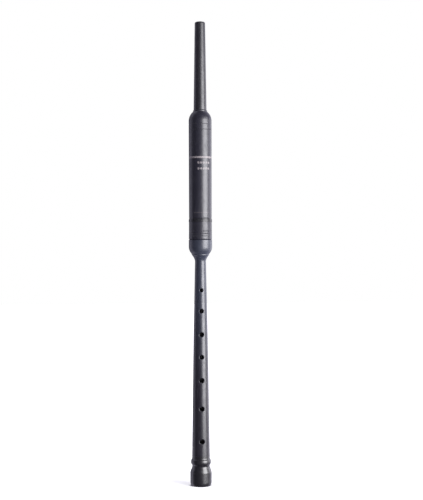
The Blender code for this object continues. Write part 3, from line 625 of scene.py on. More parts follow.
def dull(name, dark, pale, rough, relief, rings=0.0, grain=900.0):
    """A dull mottled material: rubber or unpolished inner plastic, with its grain as relief."""
    made, tree, place = begun(name)
    fine = noise(tree, place, grain, 5.0)
    base = mixed(tree, graded(tree, fine, 0.35, 0.65), dark, pale)
    # Dust, which on walls marked dusty all over also paints the light falling into the holes.
    base = laid(tree, base, worn(tree, place)["Dust and hole light"], 0.5, DUST_AND_HOLE_LIGHT)
    height = fine
    if rings:
        marks = use(tree, TURNING, place, Rings_per_mm=rings)["Height"]
        height = maths(tree, "MULTIPLY_ADD", marks, 1.5, fine)
    finished(tree, base, graded(tree, fine, 0.3, 0.7, rough - 0.05, rough + 0.06), height, relief)
    return made


rubber = dull("rubber", (0.010, 0.010, 0.011), (0.018, 0.018, 0.019), 0.62, 0.002, grain=1500.0)


def sealing_ring(name, node, body, floor, wall, height):
    """A rubber ring: an ellipse that is nearly round, clear of its groove's floor and of the wall."""
    inner, outer = floor + SEAL_GAP, wall - SEAL_GAP
    half = (outer - inner) / 2
    section = arc(((outer + inner) / 2, height), (half, half * SEAL_FLAT), 0, 360, 28)[:-1]
    fitted(turned(name, section), body, node, rubber)


for place, height in (("upper", tenon_top - SEAL_EDGE), ("lower", joint_face + SEAL_EDGE)):
    ring, node = f"tenon_ring_{place}", f"tenon_seal_{place}"
    sealing_ring(ring, node, "tenon_seals", TENON_RADIUS - SEAL_DEPTH, SOCKET_RADIUS, height)


# Reed staple. The reed's dark moulded base: a foot, a plain part that the thread is wound on
# and a thin bored neck that runs up between the blades.

STAPLE_BORE, STAPLE_FOOT, STAPLE_BODY, STAPLE_NECK = 1.3, 3.7, 3.0, 2.1
FOOT_TALL, BLADE_ROOT = 1.8, 3.2

reed_foot, staple_top = foot_of("reed_staple"), top_of("reed_staple")
blade_foot, blade_top = foot_of("reed_blade_front") + BLADE_ROOT, top_of("reed_blade_front")
staple_step = blade_foot - BLADE_ROOT - JOINT_GAP
staple_corners = [
    (STAPLE_BORE, reed_foot, 0.2),
    (STAPLE_FOOT, reed_foot, 0.35),
    (STAPLE_FOOT, reed_foot + FOOT_TALL, 0.25),
    (STAPLE_BODY, reed_foot + FOOT_TALL, 0.15),
    (STAPLE_BODY, staple_step, 0.2),
    (STAPLE_NECK, staple_step, 0.15),
    (STAPLE_NECK, staple_top, 0.25),
    (STAPLE_BORE, staple_top, 0.2),
]
STAPLE_DARK, STAPLE_PALE = (0.030, 0.026, 0.022), (0.048, 0.042, 0.034)
dark_staple = plastic("dark_staple_plastic", STAPLE_DARK, STAPLE_PALE, 0.42, rings=3.0)
fitted(turned("reed_base", staple_corners), "reed", "reed_staple", dark_staple)


# Reed blades. Two moulded strips of purple plastic, ribbed lengthways, rolled round the
# staple's neck at the throat and almost flat at the tip, where they are scraped thin.

THROAT_HALF, TIP_HALF = 3.1, 4.95
THROAT_CROWN, TIP_CROWN = 2.95, 0.85
ROOT_THICKNESS, TIP_THICKNESS = 0.6, 0.28
BLADE_GAP, EDGE_ROUND = 0.15, 0.1
BLADE_ROWS, BLADE_FACETS, RIM_FACETS = 64, 28, 4
SCRAPE = 14
PURPLE_DARK, PURPLE_PALE = (0.032, 0.014, 0.128), (0.058, 0.032, 0.205)
PURPLE_CLOUD, PURPLE_SCRAPED = (0.080, 0.048, 0.235), (0.125, 0.090, 0.275)


def purple_blades():
    """Semi-gloss purple plastic with lengthways streaks, paler towards the scraped tip."""
    made, tree, place = begun("purple_plastic")
    lengthways = add(tree, "Mapping", {"Vector": place, "Scale": (1, 1, 0.02)}).outputs[0]
    streak, cloud = noise(tree, lengthways, 2400.0, 4.0), noise(tree, place, 300.0, 3.0)
    scraped = graded(tree, height_at(tree, place), (blade_top - SCRAPE) * MM, blade_top * MM)
    base = mixed(tree, graded(tree, streak, 0.35, 0.65), PURPLE_DARK, PURPLE_PALE)
    base = laid(tree, base, graded(tree, cloud, 0.4, 0.7), 0.35, PURPLE_CLOUD)
    base = laid(tree, base, scraped, 0.45, PURPLE_SCRAPED)
    roughness = graded(tree, streak, 0.3, 0.7, 0.30, 0.44)
    depth = (0.0006, 0.0003, 0.0012)
    finished(tree, base, roughness, streak, 0.02, Subsurface_Weight=0.08, Subsurface_Radius=depth)
    return made


def capped_faces(rows, columns):
    """Faces of a grid closed round its columns, each end row closed by a strip of faces.

    In an end row point i pairs with point columns - 1 - i, so a row's seam lies in the middle
    of one of its narrow sides.
    """
    sides = grid_faces(rows, columns)[:-1].reshape(-1, 4)
    start = np.arange(columns // 2 - 1)
    strip = np.column_stack((start, start + 1, columns - 2 - start, columns - 1 - start))
    return np.concatenate((sides, strip[:, ::-1], strip + (rows - 1) * columns))


def blade(name, side):
    """A blade as a grid: half an ellipse swept up the reed, closed round both its faces.

    At share s up the blade the half width is 3.1 + 1.85 s, the crown 2.95 - 2.1 sin(90 s) and
    the thickness 0.6 - 0.32 s^2. Round the section the outer face runs from one edge to the
    other, x = w cos t, y = c sin t, then the inner face runs back one thickness inside it, with
    a half round rim between them. The end rows draw in towards the middle of the wall. Side is
    -1 in front and 1 behind. It mirrors the points, so in front the faces are reversed too.
    """
    foot = blade_foot - BLADE_ROOT
    root = np.concatenate(((foot, foot, foot + 0.09), np.linspace(foot, blade_foot, 5)[1:-1]))
    rise = np.linspace(blade_foot, blade_top, BLADE_ROWS)[:-1]
    height = np.concatenate((root, rise, (blade_top - 0.05, blade_top, blade_top)))[:, None]
    drawn = np.zeros_like(height)
    drawn[[0, 1, -2, -1], 0] = 0.6, 0.35, 0.35, 0.6
    share = np.clip((height - blade_foot) / (blade_top - blade_foot), 0, 1)
    half = THROAT_HALF + share * (TIP_HALF - THROAT_HALF)
    crown = THROAT_CROWN + np.sin(share * math.pi / 2) * (TIP_CROWN - THROAT_CROWN)
    thick = ROOT_THICKNESS + share**2 * (TIP_THICKNESS - ROOT_THICKNESS)
    t = np.linspace(0, math.pi, BLADE_FACETS + 1)
    bend = np.linspace(0, math.pi, RIM_FACETS + 2)[1:-1]
    inset = np.concatenate((0 * t, (1 - np.cos(bend)) / 2, 0 * t + 1, (1 + np.cos(bend)) / 2))
    drop = np.concatenate((0 * t, np.sin(bend), 0 * t, np.sin(bend)))
    t = np.concatenate((t, 0 * bend + math.pi, t[::-1], 0 * bend))
    inset, drop, t = (np.roll(values, RIM_FACETS // 2) for values in (inset, drop, t))
    inset = 0.5 + (inset - 0.5) * (1 - drawn)
    x = (half - inset * thick) * np.cos(t)
    edge = BLADE_GAP + EDGE_ROUND * (1 - drop * (1 - drawn))
    y = edge + (crown - EDGE_ROUND - inset * thick) * np.sin(t)
    grid = np.stack((x, side * y, height + 0 * x), axis=-1)
    return solid(name, grid, capped_faces(*x.shape)[:, ::side], np.zeros(x.shape))


purple = purple_blades()
for place, side in (("front", -1), ("back", 1)):
    fitted(blade(f"purple_blade_{place}", side), "reed", f"reed_blade_{place}", purple)


# Reed threads. Waxed amber thread is wound up and down the staple until the reed grips its
# seat, and a finer red-brown thread binds the blades' roots on the staple.

SEAT_INNER, SEAT_OUTER, SEAT_TALL, SEAT_TURNS = 3.3, 4.2, 10.8, 22.0
WHIP_INNER, WHIP_OUTER, WHIP_TALL, WHIP_TURNS = 3.4, 4.0, 2.7, 7.0
THREAD_STEPS, THREAD_SIDES, STRANDS = 40, 8, 3

# Half the turns in which a thread steps to its outer layer, and how far it wanders inwards and
# lengthways, as shares of its width.
CROSSING, WANDER, SWAY = 0.15, 0.10, 0.22


def yarn(name, dark, pale, rough):
    """Waxed twisted thread: strands as stripes that run round and along the thread's own UV map."""
    made, tree, place = begun(name)
    wrap = add(tree, "SeparateXYZ", {0: add(tree, "UVMap", uv_map="wrap").outputs[0]}).outputs
    lay = maths(tree, "MULTIPLY", wrap["X"], 2 * math.pi * STRANDS)
    phase = maths(tree, "MULTIPLY_ADD", wrap["Y"], 9.0, lay)
    strand = maths(tree, "MULTIPLY_ADD", maths(tree, "SINE", phase), 0.5, 0.5)
    patch = noise(tree, place, 700.0, 5.0)
    base = mixed(tree, maths(tree, "MULTIPLY", strand, graded(tree, patch, 0.25, 0.7, 0.35, 1.0)), dark, pale)
    roughness = graded(tree, patch, 0.3, 0.7, rough - 0.08, rough + 0.08)
    finished(tree, base, roughness, strand, 0.035, Sheen_Weight=0.15)
    return made


def wound_thread(name, inner, outer, foot, tall, turns, seed):
    """One thread wound up in an inner layer and back down in an outer one.

    At turn n its middle is (r cos 2 pi n, r sin 2 pi n, z). Radius r steps between the two
    layers at the top, z climbs and falls evenly, and both wander a little by seeded noise. A
    circle of points is swept along it, and the ends shrink and close.
    """
    thread = (outer - inner) / 2
    count = int(2 * turns * THREAD_STEPS) + 1
    turn = np.linspace(0, 2 * turns, count)
    random = np.random.default_rng(seed)
    knots = np.arange(0, 2 * turns + 1, 0.5)
    wander, sway = (np.interp(turn, knots, random.uniform(-1, 1, len(knots))) for _ in range(2))
    crossing = (turns - CROSSING, turns + CROSSING)
    radius = np.interp(turn, crossing, (inner + thread / 2, outer - thread / 2))
    radius = radius - WANDER * thread * np.abs(wander)
    low, high = foot + thread / 2, foot + tall - thread / 2
    height = np.interp(turn, (0, turns, 2 * turns), (low, high, low))
    height = np.clip(height + SWAY * thread * sway, low, high)
    angle = 2 * math.pi * turn
    middle = np.column_stack((radius * np.cos(angle), radius * np.sin(angle), height))
    along = np.gradient(middle, axis=0)
    along /= np.linalg.norm(along, axis=1)[:, None]
    outward = np.column_stack((np.cos(angle), np.sin(angle), 0 * angle))
    upward = np.cross(along, outward)
    shrink = np.clip(np.minimum(np.arange(count), np.arange(count)[::-1]) / 4, 0, 1)
    size = thread / 2 * np.sqrt(0.06 + 0.94 * (1 - (1 - shrink) ** 2))[:, None, None]
    round_it = 2 * math.pi * (np.arange(THREAD_SIDES) + 0.5) / THREAD_SIDES
    ring = np.cos(round_it)[:, None] * outward[:, None] + np.sin(round_it)[:, None] * upward[:, None]
    faces = capped_faces(count, THREAD_SIDES)
    piece = solid(name, middle[:, None] + size * ring, faces, np.zeros(count * THREAD_SIDES))
    length = np.concatenate(([0], np.cumsum(np.linalg.norm(np.diff(middle, axis=0), axis=1))))
    corner = np.array([(0, 0), (0, 1), (1, 1), (1, 0)])
    row, column = np.divmod(np.arange((count - 1) * THREAD_SIDES), THREAD_SIDES)
    wrap = np.zeros((len(faces), 4, 2))
    wrap[: len(row), :, 0] = (column[:, None] + corner[:, 1]) / THREAD_SIDES
    wrap[: len(row), :, 1] = length[row[:, None] + corner[:, 0]]
    piece.data.uv_layers.new(name="wrap").data.foreach_set("uv", wrap.astype(np.float32).ravel())
    return piece


amber = yarn("amber_thread", (0.30, 0.125, 0.018), (0.72, 0.40, 0.085), 0.5)
maroon = yarn("maroon_thread", (0.085, 0.014, 0.026), (0.27, 0.050, 0.085), 0.55)
seat_foot, whip_foot = foot_of("reed_seat_winding"), foot_of("reed_whipping")
seat_thread = wound_thread("seat_thread", SEAT_INNER, SEAT_OUTER, seat_foot, SEAT_TALL, SEAT_TURNS, 7)
fitted(seat_thread, "reed", "reed_seat_winding", amber)
whip_thread = wound_thread("whipping_thread", WHIP_INNER, WHIP_OUTER, whip_foot, WHIP_TALL, WHIP_TURNS, 11)
fitted(whip_thread, "reed", "reed_whipping", maroon)


# Trap core. The hidden inner tube that everything in the top section is fixed to: the tenon's
# socket, the reed's chamber, the trap's floor and the trap, moulded in dull black plastic, with
# a drain hole in one side and a hole for the stop pin behind.

CORE_RADIUS, CHAMBER_RADIUS, SPIGOT_RADIUS, SPIGOT_LENGTH = 10.0, 7.5, 9.0, 10.0
CHIMNEY_HOLE, TRAP_FLOOR = 2.6, 3.0
DRAIN_RADIUS, DRAIN_INSIDE, DRAIN_RIM = 1.5, 1.4, 0.2
PIN_HOLE, PIN_INSIDE, PIN_RIM = 1.1, 1.05, 0.12
LOWER_SEAL_DROP, UPPER_SEAL_DROP = 8.5, 13.2
CORE_WINDOW, CHAMBER_WINDOW, PIN_WINDOW, CORE_PART = (4, 6, 0.5), (4, 6, 0.28), (4, 6, 0.4), 8.5

core_foot, core_top = foot_of("trap_core"), top_of("trap_core")
trap_underside = foot_of("air_chimney")
trap_floor = trap_underside + TRAP_FLOOR
sleeve_top = core_top - SPIGOT_LENGTH
drain_height = trap_floor + DRAIN_RADIUS + JOINT_GAP
pin_height = (foot_of("stop_pin") + top_of("stop_pin")) / 2
upper_sleeve_seal, lower_sleeve_seal = sleeve_top - UPPER_SEAL_DROP, drain_height - LOWER_SEAL_DROP

core_corners = [
    (SOCKET_RADIUS, core_foot, 0.3),
    (CORE_RADIUS, core_foot, 0.15),
    *plain_rows(CORE_RADIUS, window_rows(pin_height, PIN_WINDOW)),
    *seal_groove(CORE_RADIUS, lower_sleeve_seal, SEAL_DEPTH),
    *plain_rows(CORE_RADIUS, window_rows(drain_height, CORE_WINDOW)),
    *seal_groove(CORE_RADIUS, upper_sleeve_seal, SEAL_DEPTH),
    (CORE_RADIUS, sleeve_top, 0.2),
    (SPIGOT_RADIUS, sleeve_top, 0.15),
    (SPIGOT_RADIUS, core_top, 0.3),
    (CHAMBER_RADIUS, core_top, 0.3),
    *plain_rows(CHAMBER_RADIUS, window_rows(drain_height, CHAMBER_WINDOW)[::-1]),
    (CHAMBER_RADIUS, trap_floor, 0.1),
    (CHIMNEY_HOLE, trap_floor, 0.2),
    (CHIMNEY_HOLE, trap_underside, 0.2),
    (CHAMBER_RADIUS, trap_underside, 0.4),
    *plain_rows(CHAMBER_RADIUS, window_rows(pin_height, CHAMBER_WINDOW)[::-1]),
    (CHAMBER_RADIUS, tenon_top + JOINT_GAP, 0.15),
    (SOCKET_RADIUS, tenon_top + JOINT_GAP, 0.15),
]
core_holes = [
    (drain_height, LEFT, DRAIN_RADIUS, DRAIN_INSIDE, DRAIN_RIM, CORE_WINDOW, CHAMBER_WINDOW, CORE_PART),
    (pin_height, BACK, PIN_HOLE, PIN_INSIDE, PIN_RIM, PIN_WINDOW, CHAMBER_WINDOW, CORE_PART),
]
INNER_DARK, INNER_PALE = (0.016, 0.016, 0.018), (0.024, 0.024, 0.026)
inner_black = dull("inner_black_plastic", INNER_DARK, INNER_PALE, 0.46, 0.001, rings=3.0, grain=500.0)
core = drilled("trap_tube", core_corners, core_holes)
fitted(core, "top_section", "trap_core", inner_black)


# Grip collar. A ring of black plastic glued round the core's foot, with three turned lines
# that give the fingers a hold when the barrel is twisted.

# Each turned line's height above the collar's foot, and its depth.
COLLAR_LINES = (3.7, 0.13), (6.3, 0.26), (8.9, 0.26)
LINE_WIDTH, COLLAR_TAPER = 0.7, 0.007
COLLAR_FOOT_RADIUS, COLLAR_TOP_RADIUS = 12.17, 12.04
COLLAR_BORE = CORE_RADIUS + JOINT_GAP
BLACK_DARK, BLACK_PALE, BLACK_ROUGH = (0.0116, 0.0112, 0.0186), (0.0140, 0.0136, 0.0219), 0.39


def turned_line(radius, height, width, depth):
    """Corners of a shallow turned V, from its lower edge to its upper edge."""
    lower, upper = height - width / 2, height + width / 2
    return (radius, lower, 0.10), (radius - depth, height, 0.12), (radius, upper, 0.10)


def closed_foot(name):
    """Foot of a node of the frame, lowered until a hairline parts it from the piece below."""
    return foot_of(name) - JOINT_GAP + HAIRLINE


black = plastic("black_plastic", BLACK_DARK, BLACK_PALE, BLACK_ROUGH)
collar_foot, collar_top = foot_of("grip_collar"), top_of("grip_collar")
collar_lines = [
    corner
    for rise, depth in COLLAR_LINES
    for corner in turned_line(COLLAR_FOOT_RADIUS - COLLAR_TAPER * rise, collar_foot + rise, LINE_WIDTH, depth)
]
collar_corners = [
    (COLLAR_BORE, closed_foot("grip_collar"), 0.2),
    (COLLAR_FOOT_RADIUS - 0.65, closed_foot("grip_collar"), 0.08),
    (COLLAR_FOOT_RADIUS, collar_foot + 0.6, 0.2),
    *collar_lines,
    (COLLAR_TOP_RADIUS, collar_top, 0.08),
    (COLLAR_BORE, collar_top, 0.2),
]
fitted(turned("lined_collar", collar_corners), "top_section", "grip_collar", black)


# Seam ring. A soft black ring under the barrel, a little proud of both neighbours, that the
# barrel turns against.

seam_radius = reach_of("seam_ring")
seam_foot, seam_top = closed_foot("seam_ring"), closed_top("seam_ring")
seam_corners = [
    (COLLAR_BORE, seam_top, 0.15),
    (COLLAR_BORE, seam_foot, 0.15),
    (seam_radius - 0.12, seam_foot, 0.08),
    (seam_radius - 0.03, seam_foot + 0.8, 0.3),
    (seam_radius, seam_foot + 1.5, 0.4),
    (seam_radius - 0.42, seam_top, 0.12),
]
smooth_rubber = dull("smooth_rubber", (0.011, 0.011, 0.014), (0.016, 0.016, 0.019), 0.33, 0.001)
fitted(turned("rubber_seam_ring", seam_corners), "top_section", "seam_ring", smooth_rubber)


# Stop pin. A steel pin pressed through the core's wall, whose head runs in a slot inside the
# barrel's lower edge and ends the quarter turn.

PIN_RADIUS, PIN_SIDES = 0.8, 32

# Distances from either end of the pin, and the share of its radius that it has there.
PIN_STEPS = np.array((0.0, 0.0, 0.05, 0.15, 0.3, 0.5, 1.0))
PIN_SHARES = np.array((0.4, 0.72, 0.86, 0.96, 1.0, 1.0, 1.0))


def steel_look():
    """Bright turned steel with fine rings and faint stains."""
    made, tree, place = begun("steel")
    stain = noise(tree, place, 420.0, 5.0)
    base = mixed(tree, graded(tree, stain, 0.35, 0.7), (0.62, 0.61, 0.59), (0.48, 0.47, 0.45))
    marks = use(tree, TURNING, place, Rings_per_mm=8.0)["Height"]
    finished(tree, base, graded(tree, stain, 0.3, 0.7, 0.24, 0.36), marks, 0.004, Metallic=1.0)
    return made


def round_pin(name, radius, start, end, height):
    """A pin that lies along +Y: circles of points at steps along it, its ends eased and closed."""
    along = np.concatenate((start + PIN_STEPS, end - PIN_STEPS[::-1]))[:, None]
    size = np.concatenate((PIN_SHARES, PIN_SHARES[::-1])) * radius
    angle = 2 * math.pi * (np.arange(PIN_SIDES) + 0.5) / PIN_SIDES
    across, up = np.outer(size, np.cos(angle)), np.outer(size, np.sin(angle))
    grid = np.stack((across, along + 0 * angle, height + up), axis=-1)
    return solid(name, grid, capped_faces(*across.shape)[:, ::-1], np.zeros(across.shape))


steel = steel_look()
pin_start, pin_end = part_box("stop_pin")[0].y / MM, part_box("stop_pin")[1].y / MM
stop_pin = round_pin("stop_pin_round", PIN_RADIUS, pin_start, pin_end, pin_height)
fitted(stop_pin, "top_section", "stop_pin", steel)


# Air chimney. A steel standpipe with a flange, seated on the trap's floor. Breath passes through
# its bore and water stays round its foot.

CHIMNEY_BORE, CHIMNEY_RADIUS, FLANGE_RADIUS, FLANGE = 1.7, 2.3, 3.6, 1.0

chimney_top = top_of("air_chimney")
flange_foot = trap_floor + JOINT_GAP
chimney_corners = [
    (CHIMNEY_BORE, chimney_top, 0.25),
    (CHIMNEY_BORE, trap_underside, 0.2),
    (CHIMNEY_RADIUS, trap_underside, 0.2),
    (CHIMNEY_RADIUS, flange_foot, 0.1),
    (FLANGE_RADIUS, flange_foot, 0.2),
    (FLANGE_RADIUS, flange_foot + FLANGE, 0.2),
    (CHIMNEY_RADIUS, flange_foot + FLANGE, 0.2),
    (CHIMNEY_RADIUS, chimney_top, 0.25),
]
chimney = turned("steel_chimney", chimney_corners, columns=64)
fitted(chimney, "top_section", "air_chimney", steel)


# Sleeve seals. Two rubber rings in the core's grooves, above and below the drain hole, that the
# barrel slides round on.

SLEEVE_BORE = 10.3

for place, height in (("upper", upper_sleeve_seal), ("lower", lower_sleeve_seal)):
    ring, node = f"barrel_ring_{place}", f"sleeve_seal_{place}"
    sealing_ring(ring, node, "top_section", CORE_RADIUS - SEAL_DEPTH, SLEEVE_BORE, height)


# Twist barrel. The long sleeve that turns a quarter turn to drain the trap. It is the same
# satin black plastic, turned, with a pale printed band round it and plain printed dots below.

SLEEVE_FOOT_RADIUS, SLEEVE_TOP_RADIUS = 11.95, 12.1
PORT_WINDOW, PORT_RIM, PORT_PART = (4, 6, 0.5), 0.25, 11.0
SLOT_DEPTH, SLOT_TALL, SLOT_MARGIN, SLOT_SKIN = 1.0, 3.7, 6.3, 0.4
BAND_HEIGHT, BAND_HALF, INK_SOFT = 64.1, 1.0, 0.07

# Each block of dots: first across and up, pitch across and up, columns, rows, radius and ink.
DOT_BLOCKS = (-3.6, 52.1, 2.9, 6.2, 5, 2, 1.2, 0.9), (-8.0, 6.1, 1.5, 1.5, 12, 1, 0.36, 0.8)

sleeve_foot, barrel_top = foot_of("twist_sleeve"), top_of("twist_sleeve")


def printed_to(tree, distance, reach):
    """Mask that is full inside a reach and fades over a soft edge of the ink."""
    return graded(tree, distance, reach - INK_SOFT, reach + INK_SOFT, 1.0, 0.0)


def dots(tree, across, up, first_across, first_up, pitch, row_pitch, columns, rows, radius):
    """Mask of a block of dots: the distance to the nearest dot's middle against its radius."""
    away = []
    ways = (across, first_across, pitch, columns), (up, first_up, row_pitch, rows)
    for value, first, step, count in ways:
        cell = maths(tree, "DIVIDE", maths(tree, "SUBTRACT", value, first), step)
        nearest = maths(tree, "MAXIMUM", maths(tree, "ROUND", cell), 0.0)
        nearest = maths(tree, "MINIMUM", nearest, count - 1.0)
        away.append(maths(tree, "MULTIPLY", maths(tree, "SUBTRACT", cell, nearest), step))
    square = maths(tree, "MULTIPLY_ADD", away[0], away[0], maths(tree, "MULTIPLY", away[1], away[1]))
    return printed_to(tree, maths(tree, "SQRT", square), radius)


def barrel_print(tree, place):
    """Mask of the print: |height - band| inside its half, and dots on angle times radius."""
    parts = add(tree, "SeparateXYZ", {0: place}).outputs
    turn = maths(tree, "ARCTAN2", parts["X"], maths(tree, "MULTIPLY", parts["Y"], -1.0))
    across = maths(tree, "MULTIPLY", turn, SLEEVE_TOP_RADIUS)
    up = maths(tree, "MULTIPLY_ADD", parts["Z"], 1 / MM, -sleeve_foot)
    off_band = maths(tree, "ABSOLUTE", maths(tree, "SUBTRACT", up, BAND_HEIGHT))
    mask = printed_to(tree, off_band, BAND_HALF)
    for *block, ink in DOT_BLOCKS:
        mask = maths(tree, "MAXIMUM", mask, maths(tree, "MULTIPLY", dots(tree, across, up, *block), ink))
    thin = graded(tree, noise(tree, place, 900.0, 4.0), 0.25, 0.45, 0.8, 1.0)
    return maths(tree, "MULTIPLY", mask, thin)


def cut_slot(grid):
    """Cuts the stop's slot: radius grows by its depth inside its angles, below its roof."""
    radius, height = np.hypot(grid[..., 0], grid[..., 1]), grid[..., 2]
    angle = np.degrees(np.arctan2(grid[..., 1], grid[..., 0]))
    inside = (angle > -SLOT_MARGIN) & (angle < 90 + SLOT_MARGIN)
    inside &= (height < sleeve_foot + SLOT_TALL) & (radius < SLEEVE_BORE + SLOT_SKIN)
    grid[..., :2] *= (1 + inside * SLOT_DEPTH / radius)[..., None]


port_rows = window_rows(drain_height, PORT_WINDOW)
slot_rows = sleeve_foot + SLOT_TALL + np.array((1.0, 0.05, -0.05, -1.0))
port_share = (port_rows - sleeve_foot) / (barrel_top - sleeve_foot)
sleeve_corners = [
    (SLEEVE_BORE, sleeve_foot, 0.15),
    (SLEEVE_FOOT_RADIUS - 0.25, sleeve_foot, 0.08),
    (SLEEVE_FOOT_RADIUS, sleeve_foot + 1.2, 0.25),
    *plain_rows(SLEEVE_FOOT_RADIUS + port_share * (SLEEVE_TOP_RADIUS - SLEEVE_FOOT_RADIUS), port_rows),
    (SLEEVE_TOP_RADIUS, barrel_top, 0.3),
    (SLEEVE_BORE, barrel_top, 0.2),
    *plain_rows(SLEEVE_BORE, port_rows[::-1]),
    *plain_rows(SLEEVE_BORE, slot_rows),
]
port = (drain_height, BACK, DRAIN_RADIUS, DRAIN_INSIDE, PORT_RIM, PORT_WINDOW, PORT_WINDOW, PORT_PART)
printed_black = plastic("printed_black_plastic", BLACK_DARK, BLACK_PALE, BLACK_ROUGH, ink=barrel_print)
barrel = drilled("twist_barrel_tube", sleeve_corners, [port], cut_slot)
fitted(barrel, "twist_barrel", "twist_sleeve", printed_black)


# Dome cap. The rounded shoulder fixed on the core's spigot, turned from black plastic with one
# line round it, and bored on top as the blow stem's socket.

SPIGOT_SOCKET, STEM_SOCKET = 9.3, 4.9
DOME_SKIRT, DOME_RISE, DOME_CURVE = 9.4, 9.8, 12.5
DOME_LINE, DOME_LINE_WIDTH, DOME_LINE_DEPTH = 5.75, 0.5, 0.24

dome_foot, dome_top = closed_foot("dome_cap"), closed_top("dome_cap")
dome_floor = core_top + JOINT_GAP
shoulder_end = math.degrees(math.asin(DOME_RISE / DOME_CURVE))
lip_radius = SLEEVE_TOP_RADIUS * math.cos(math.radians(shoulder_end))
dome_corners = [
    (SPIGOT_SOCKET, dome_foot, 0.2),
    (SLEEVE_TOP_RADIUS, dome_foot, 0.3),
    *turned_line(SLEEVE_TOP_RADIUS, dome_foot + DOME_LINE, DOME_LINE_WIDTH, DOME_LINE_DEPTH),
    *arc((0, dome_foot + DOME_SKIRT), (SLEEVE_TOP_RADIUS, DOME_CURVE), 0, shoulder_end, 32)[:-1],
    (lip_radius, dome_foot + DOME_SKIRT + DOME_RISE, 0.2),
    (lip_radius, dome_top, 0.25),
    (STEM_SOCKET, dome_top, 0.3),
    (STEM_SOCKET, dome_floor, 0.2),
    (SPIGOT_SOCKET, dome_floor, 0.2),
]
fitted(turned("round_shoulder", dome_corners), "top_section", "dome_cap", black)


# Blow stem. The tapered mouthpiece of the same black plastic, bored through and rounded at the
# tip, with a tenon and a rubber ring that push into the dome.

STEM_BORE, STEM_BASE, STEM_TIP, TIP_ROUND = 2.0, 6.83, 5.5, 1.7
STEM_TENON, STEM_TENON_LENGTH, STEM_GROOVE = 4.6, 9.0, 1.0
STEM_DARK, STEM_PALE = (0.0116, 0.0109, 0.0143), (0.0142, 0.0135, 0.0175)

stem_foot, stem_top = foot_of("mouthpiece") + STEM_TENON_LENGTH, top_of("mouthpiece")
stem_seal = stem_foot - STEM_TENON_LENGTH / 2
stem_corners = [
    (STEM_BORE, stem_foot - STEM_TENON_LENGTH, 0.25),
    (STEM_TENON, stem_foot - STEM_TENON_LENGTH, 0.3),
    *seal_groove(STEM_TENON, stem_seal, STEM_GROOVE),
    (STEM_TENON, stem_foot, 0.15),
    (STEM_BASE, stem_foot, 1.3),
    *arc((STEM_TIP - TIP_ROUND, stem_top - TIP_ROUND), (TIP_ROUND, TIP_ROUND), 0, 90, 14),
    (STEM_BORE, stem_top, 0.45),
]
stem_black = plastic("stem_black_plastic", STEM_DARK, STEM_PALE, BLACK_ROUGH)
fitted(turned("blow_stem_tube", stem_corners), "blow_stem", "mouthpiece", stem_black)
stem_ring_floor = STEM_TENON - STEM_GROOVE
sealing_ring("blow_stem_ring", "mouthpiece_seal", "blow_stem", stem_ring_floor, STEM_SOCKET, stem_seal)


# Stage. A pale floor that keeps the shadow, a large softbox to the front right, a fainter one to
# the right and a little behind, and a white room that is dark in front, as the reflections show.

FLOOR_HALF = 4
ROOM_FRONT, ROOM_SIDE, ROOM_BACK, ROOM_FILL = 0.065, 1.15, 0.25, 0.4
ROOM_COLOUR, WHITE, LAMP_COLOUR = (0.95, 0.92, 1.14), (1, 1, 1), (0.99, 0.985, 1.01)

corners = [(FLOOR_HALF * x, FLOOR_HALF * y, 0) for x, y in ((-1, -1), (1, -1), (1, 1), (-1, 1))]
floor_mesh = bpy.data.meshes.new("floor")
floor_mesh.from_pydata(corners, [], [(0, 1, 2, 3)])
floor = in_scene("floor", floor_mesh)

# To the camera the floor glows outside the sole's edge, by half near it and fully farther off.
# Reflections and shadow rays pass through it.
pale, tree, place = begun("pale_floor")
shader = tree.nodes["Principled BSDF"]
shader.inputs["Base Color"].default_value = (0.8, 0.8, 0.8, 1)
shader.inputs["Roughness"].default_value = 0.9
rays = add(tree, "LightPath").outputs
near = add(tree, "VectorMath", {0: place}, operation="LENGTH").outputs["Value"]
contact = graded(tree, near, 0.0105, 0.013)
spread = graded(tree, near, 0.12, 0.6, 0.55, 1.0)
glow = add(tree, "Emission", {"Color": (*WHITE, 1), "Strength": maths(tree, "MULTIPLY", contact, spread)})
lit = add(tree, "AddShader", {0: shader.outputs[0], 1: glow.outputs[0]})
seen = add(tree, "MixShader", {0: rays["Is Camera Ray"], 1: shader.outputs[0], 2: lit.outputs[0]})
clear = maths(tree, "MAXIMUM", rays["Is Glossy Ray"], rays["Is Shadow Ray"])
passed = add(tree, "MixShader", {0: clear, 1: seen.outputs[0], 2: add(tree, "BsdfTransparent").outputs[0]})
tree.links.new(passed.outputs[0], tree.nodes["Material Output"].inputs["Surface"])
floor_mesh.materials.append(pale)

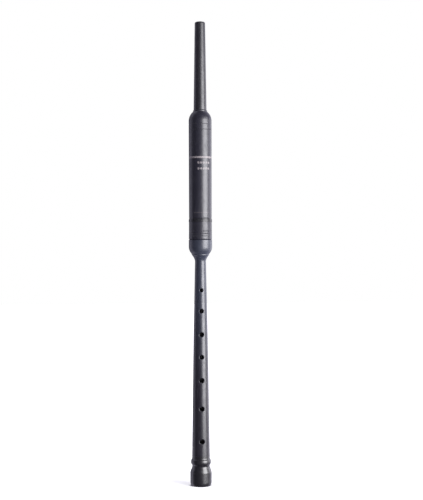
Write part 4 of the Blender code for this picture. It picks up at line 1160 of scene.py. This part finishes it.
# In reflections the room is dark in front, bright behind to either side and dim straight
# behind. It lights the object evenly, and to the camera it is white.
world = bpy.data.worlds.new("studio")
bpy.context.scene.world = world
world.use_nodes = True
tree = world.node_tree
rays = add(tree, "LightPath").outputs
way = add(tree, "SeparateXYZ", {0: add(tree, "TexCoord").outputs["Generated"]}).outputs["Y"]
room = graded(tree, way, 0.1, 0.4, ROOM_FRONT, ROOM_SIDE)
room = maths(tree, "MINIMUM", room, graded(tree, way, 0.5, 0.85, ROOM_SIDE, ROOM_BACK))
seen = maths(tree, "MAXIMUM", rays["Is Camera Ray"], rays["Is Transmission Ray"])
strength = add(tree, "Mix", {0: rays["Is Glossy Ray"], 2: ROOM_FILL, 3: room}, data_type="FLOAT").outputs[0]
strength = add(tree, "Mix", {0: seen, 2: strength, 3: 1.0}, data_type="FLOAT").outputs[0]
tree.links.new(strength, tree.nodes["Background"].inputs["Strength"])
tree.links.new(mixed(tree, seen, ROOM_COLOUR, WHITE), tree.nodes["Background"].inputs["Color"])

CAMERA_TURN, CAMERA_ROLL = -8.5, 0.15
CAMERA_DISTANCE, CAMERA_HEIGHT, CAMERA_ASIDE = 1.2, 0.2488, 0.0117
FRAME_HEIGHT, SENSOR = 0.52905, 36.0
LAMP_DISTANCE, LAMP_TALL = 1.0, 0.8


def round_the_bore(degrees, distance, height):
    """A place round the bore: degrees to the right of straight in front, seen from the front."""
    turn = math.radians(degrees)
    return (distance * math.sin(turn), -distance * math.cos(turn), height)


def softbox(name, degrees, height, width, radiance):
    """An area lamp that faces the bore, its power worked out from its radiance and area."""
    lamp = bpy.data.lights.new(name, "AREA")
    lamp.shape = "RECTANGLE"
    lamp.size, lamp.size_y = width, LAMP_TALL
    lamp.energy = radiance * math.pi * width * LAMP_TALL
    lamp.color = LAMP_COLOUR
    placed = in_scene(name, lamp)
    placed.location = round_the_bore(CAMERA_TURN + degrees, LAMP_DISTANCE, height)
    placed.rotation_euler = (math.radians(90), 0, math.radians(CAMERA_TURN + degrees))
    placed.visible_camera = False


softbox("key_softbox", 53, 0.33, 0.9, 12.0)
softbox("side_softbox", 123, 0.25, 0.95, 1.5)

lens = bpy.data.cameras.new("camera")
lens.sensor_width = SENSOR
lens.lens = SENSOR * CAMERA_DISTANCE / FRAME_HEIGHT
camera = in_scene("camera", lens)
x, y, z = round_the_bore(CAMERA_TURN, CAMERA_DISTANCE, CAMERA_HEIGHT)
turn = math.radians(CAMERA_TURN)
camera.location = (x + CAMERA_ASIDE * math.cos(turn), y + CAMERA_ASIDE * math.sin(turn), z)
camera.rotation_euler = (math.radians(90), math.radians(CAMERA_ROLL), turn)
bpy.context.scene.camera = camera
bpy.context.scene.view_settings.view_transform = "Standard"
